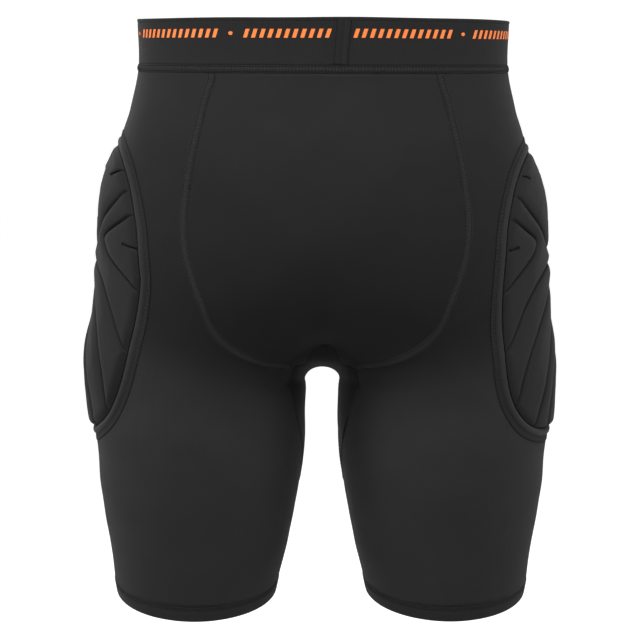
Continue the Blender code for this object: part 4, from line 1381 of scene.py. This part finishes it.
def add_pad(side, swap):
    """One hip pad: a stitched tape and piped flange round grooved foam."""
    rim = pad_rim(side)
    columns = len(rim)
    ahead = unit(np.roll(rim, -1, axis=0) - np.roll(rim, 1, axis=0))
    inward = np.stack([-ahead[:, 1], ahead[:, 0]], axis=1)
    foam_rim = rim + inward * PAD_FLANGE
    centre = np.zeros((1, 2))
    rings = [rim + inward * depth / 1000 for depth, _ in PAD_EDGE]
    lifts = [np.full(columns, lift / 1000) for _, lift in PAD_EDGE]
    foam = [foam_rim * share for share in np.linspace(1, 0, PAD_RINGS, endpoint=False)] + [centre]
    lifts += [foam_lift(flat, side, foam_rim) + FOAM_FOOT for flat in foam]
    top = np.concatenate([*rings, *foam])
    under = np.concatenate([rings[0], foam_rim * 0.5, centre])
    count, middle = len(top) // columns, len(top) - 1
    first, heart = middle + 1, middle + 1 + 2 * columns
    faces = grid_faces(count, columns, False, True) + fan_faces(middle - columns, columns, middle)
    below = grid_faces(2, columns, False, True, first) + fan_faces(heart - columns, columns, heart)
    faces += [face[::-1] for face in below]
    faces += [[k, first + k, first + (k + 1) % columns, (k + 1) % columns] for k in range(columns)]
    points = np.concatenate([pad_place(top, np.concatenate(lifts)), pad_place(under, -BACKING_DEPTH)])
    piece = add_mesh("padding_" + side, points, faces, np.concatenate([top, under]),
                     foam_cover, swap)
    piece.data.materials.append(tape)
    index = np.zeros(len(piece.data.polygons), int)
    index[PIPING_FIRST * columns:(len(PAD_EDGE) - 1) * columns] = 1
    piece.data.polygons.foreach_set("material_index", index)
    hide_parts("hip_pad_" + side)
    rows = []
    for across in PAD_STITCH_LINES:
        run = even_run(rim + inward * across, STITCH + STITCH_GAP, True)
        ends = run + (np.roll(run, -1, axis=0) - run) * PAD_STITCH_SHARE
        rows.append((pad_place(run, PAD_STITCH_LIFT), pad_place(ends, PAD_STITCH_LIFT)))
    add_threads("padding_thread_" + side, rows, "fine", thread, swap)
    # Dark cords of black thread in the grooves, round the foam's edge and round the recess: painted shade in
    # these hollows
    lines = [rounded(line) for line in groove_lines(PAD_GROOVES, side)]
    for line in groove_lines(PAD_STUBS, side):
        lines += [line, line + (0, STUB_SHADE_RISE)]
    rows = [groove_shade_row(foam_rim, side, foam_rim, True)]
    rows += [groove_shade_row(leaned(line, side), side, foam_rim) for line in lines]
    rows.append(groove_shade_row(leaned(np.array(PAD_RECESS) / 1000, side), side, foam_rim, True))
    add_threads("padding_crease_" + side, rows, "groove_shade", thread, swap)


# Stage, lights and camera

FLOOR_DROP = 0.95
SURROUND = 0.28
CAMERA_DISTANCE = 1.90
CAMERA_ELEVATION = math.radians(6.51)
CAMERA_AZIMUTH = math.radians(178.6)
CAMERA_TARGET = Vector((0.0016, 0.0, -0.2154))
CAMERA_ROLL = math.radians(0.25)
PIXEL_AT_TARGET = 0.00078
IMAGE_SIZE = 640
SENSOR = 36.0
FLOOR_HALF = 30.0
LIGHTS = (
    # name, place, size, power
    ("front", (0.15, 1.75, 1.35), (1.2, 1.0), 48.0),
    ("behind", (0.5, -1.9, 1.1), (1.4, 1.0), 22.0),
    ("side_left", (2.2, 0.7, 0.9), (1.0, 1.0), 40.0),
    ("side_right", (-2.2, 0.7, 0.9), (1.0, 1.0), 30.0),
)


def add_light(name, place, size, power):
    """A soft square light that looks at the shorts."""
    data = bpy.data.lights.new(name, "AREA")
    data.energy = power
    data.shape = "RECTANGLE"
    data.size, data.size_y = size
    light = add_object(name, data)
    light.location = place
    light.rotation_euler = (CAMERA_TARGET - Vector(place)).to_track_quat("-Z", "Y").to_euler()


def brighter_in_front(tree, output, span, levels):
    """A level that rises smoothly towards -Y, where the photograph's background lies."""
    place = add_node(tree, "TexCoord", output, {})
    along = add_node(tree, "SeparateXYZ", "Y", {"Vector": place})
    return add_node(tree, "MapRange", "Result", {"Value": along, "From Min": span[0], "From Max": span[1],
                                                 "To Min": levels[0], "To Max": levels[1]},
                    interpolation_type="SMOOTHSTEP")


def floor_material():
    """Pale paper that glows with painted light, up to white where it is the background."""
    paper, tree, shader = new_material("pale_paper")
    # Painted light: the paper's glow rises towards -Y, and there is none under the shorts
    glow = brighter_in_front(tree, "Object", (-1.8, -0.8), (0.8, 0.0))
    fill(tree, shader, {"Base Color": (0.55, 0.55, 0.55, 1), "Roughness": 0.9,
                        "Emission Color": (1.0, 1.0, 1.0, 1), "Emission Strength": glow})
    return paper


def surround():
    """A pale surround, white where it is the photograph's background."""
    world = bpy.data.worlds.new("surround")
    world.use_nodes = True
    tree = world.node_tree
    level = brighter_in_front(tree, "Generated", (-0.95, -0.70), (1.1, SURROUND))
    fill(tree, tree.nodes["Background"], {"Color": (1.0, 1.0, 1.0, 1), "Strength": level})
    return world


def add_studio():
    """A pale floor, an even pale surround, soft lights and the photograph's camera."""
    half = FLOOR_HALF
    mesh = bpy.data.meshes.new("floor")
    mesh.from_pydata([(-half, -half, 0), (half, -half, 0), (half, half, 0), (-half, half, 0)], [],
                     [(0, 1, 2, 3)])
    mesh.materials.append(floor_material())
    floor = add_object("floor", mesh)
    floor.location.z = -FLOOR_DROP
    scene = bpy.context.scene
    scene.world = surround()
    for light in LIGHTS:
        add_light(*light)
    lens = bpy.data.cameras.new("camera")
    lens.sensor_width = SENSOR
    lens.lens = SENSOR * CAMERA_DISTANCE / (PIXEL_AT_TARGET * IMAGE_SIZE)
    camera = add_object("camera", lens)
    back = Vector((math.sin(CAMERA_AZIMUTH) * math.cos(CAMERA_ELEVATION),
                   -math.cos(CAMERA_AZIMUTH) * math.cos(CAMERA_ELEVATION), math.sin(CAMERA_ELEVATION)))
    camera.location = CAMERA_TARGET + back * CAMERA_DISTANCE
    roll = Matrix.Rotation(CAMERA_ROLL, 3, "Z")
    camera.rotation_euler = (back.to_track_quat("Z", "Y").to_matrix() @ roll).to_euler()
    scene.camera = camera
    scene.view_settings.view_transform = "Standard"


add_seat()
add_legs()
add_gusset()
add_seams()
add_waist_seam()
add_band()
add_band_join()
add_print()
add_hems()
for side, swap in SIDES:
    add_pad(side, swap)
add_studio()
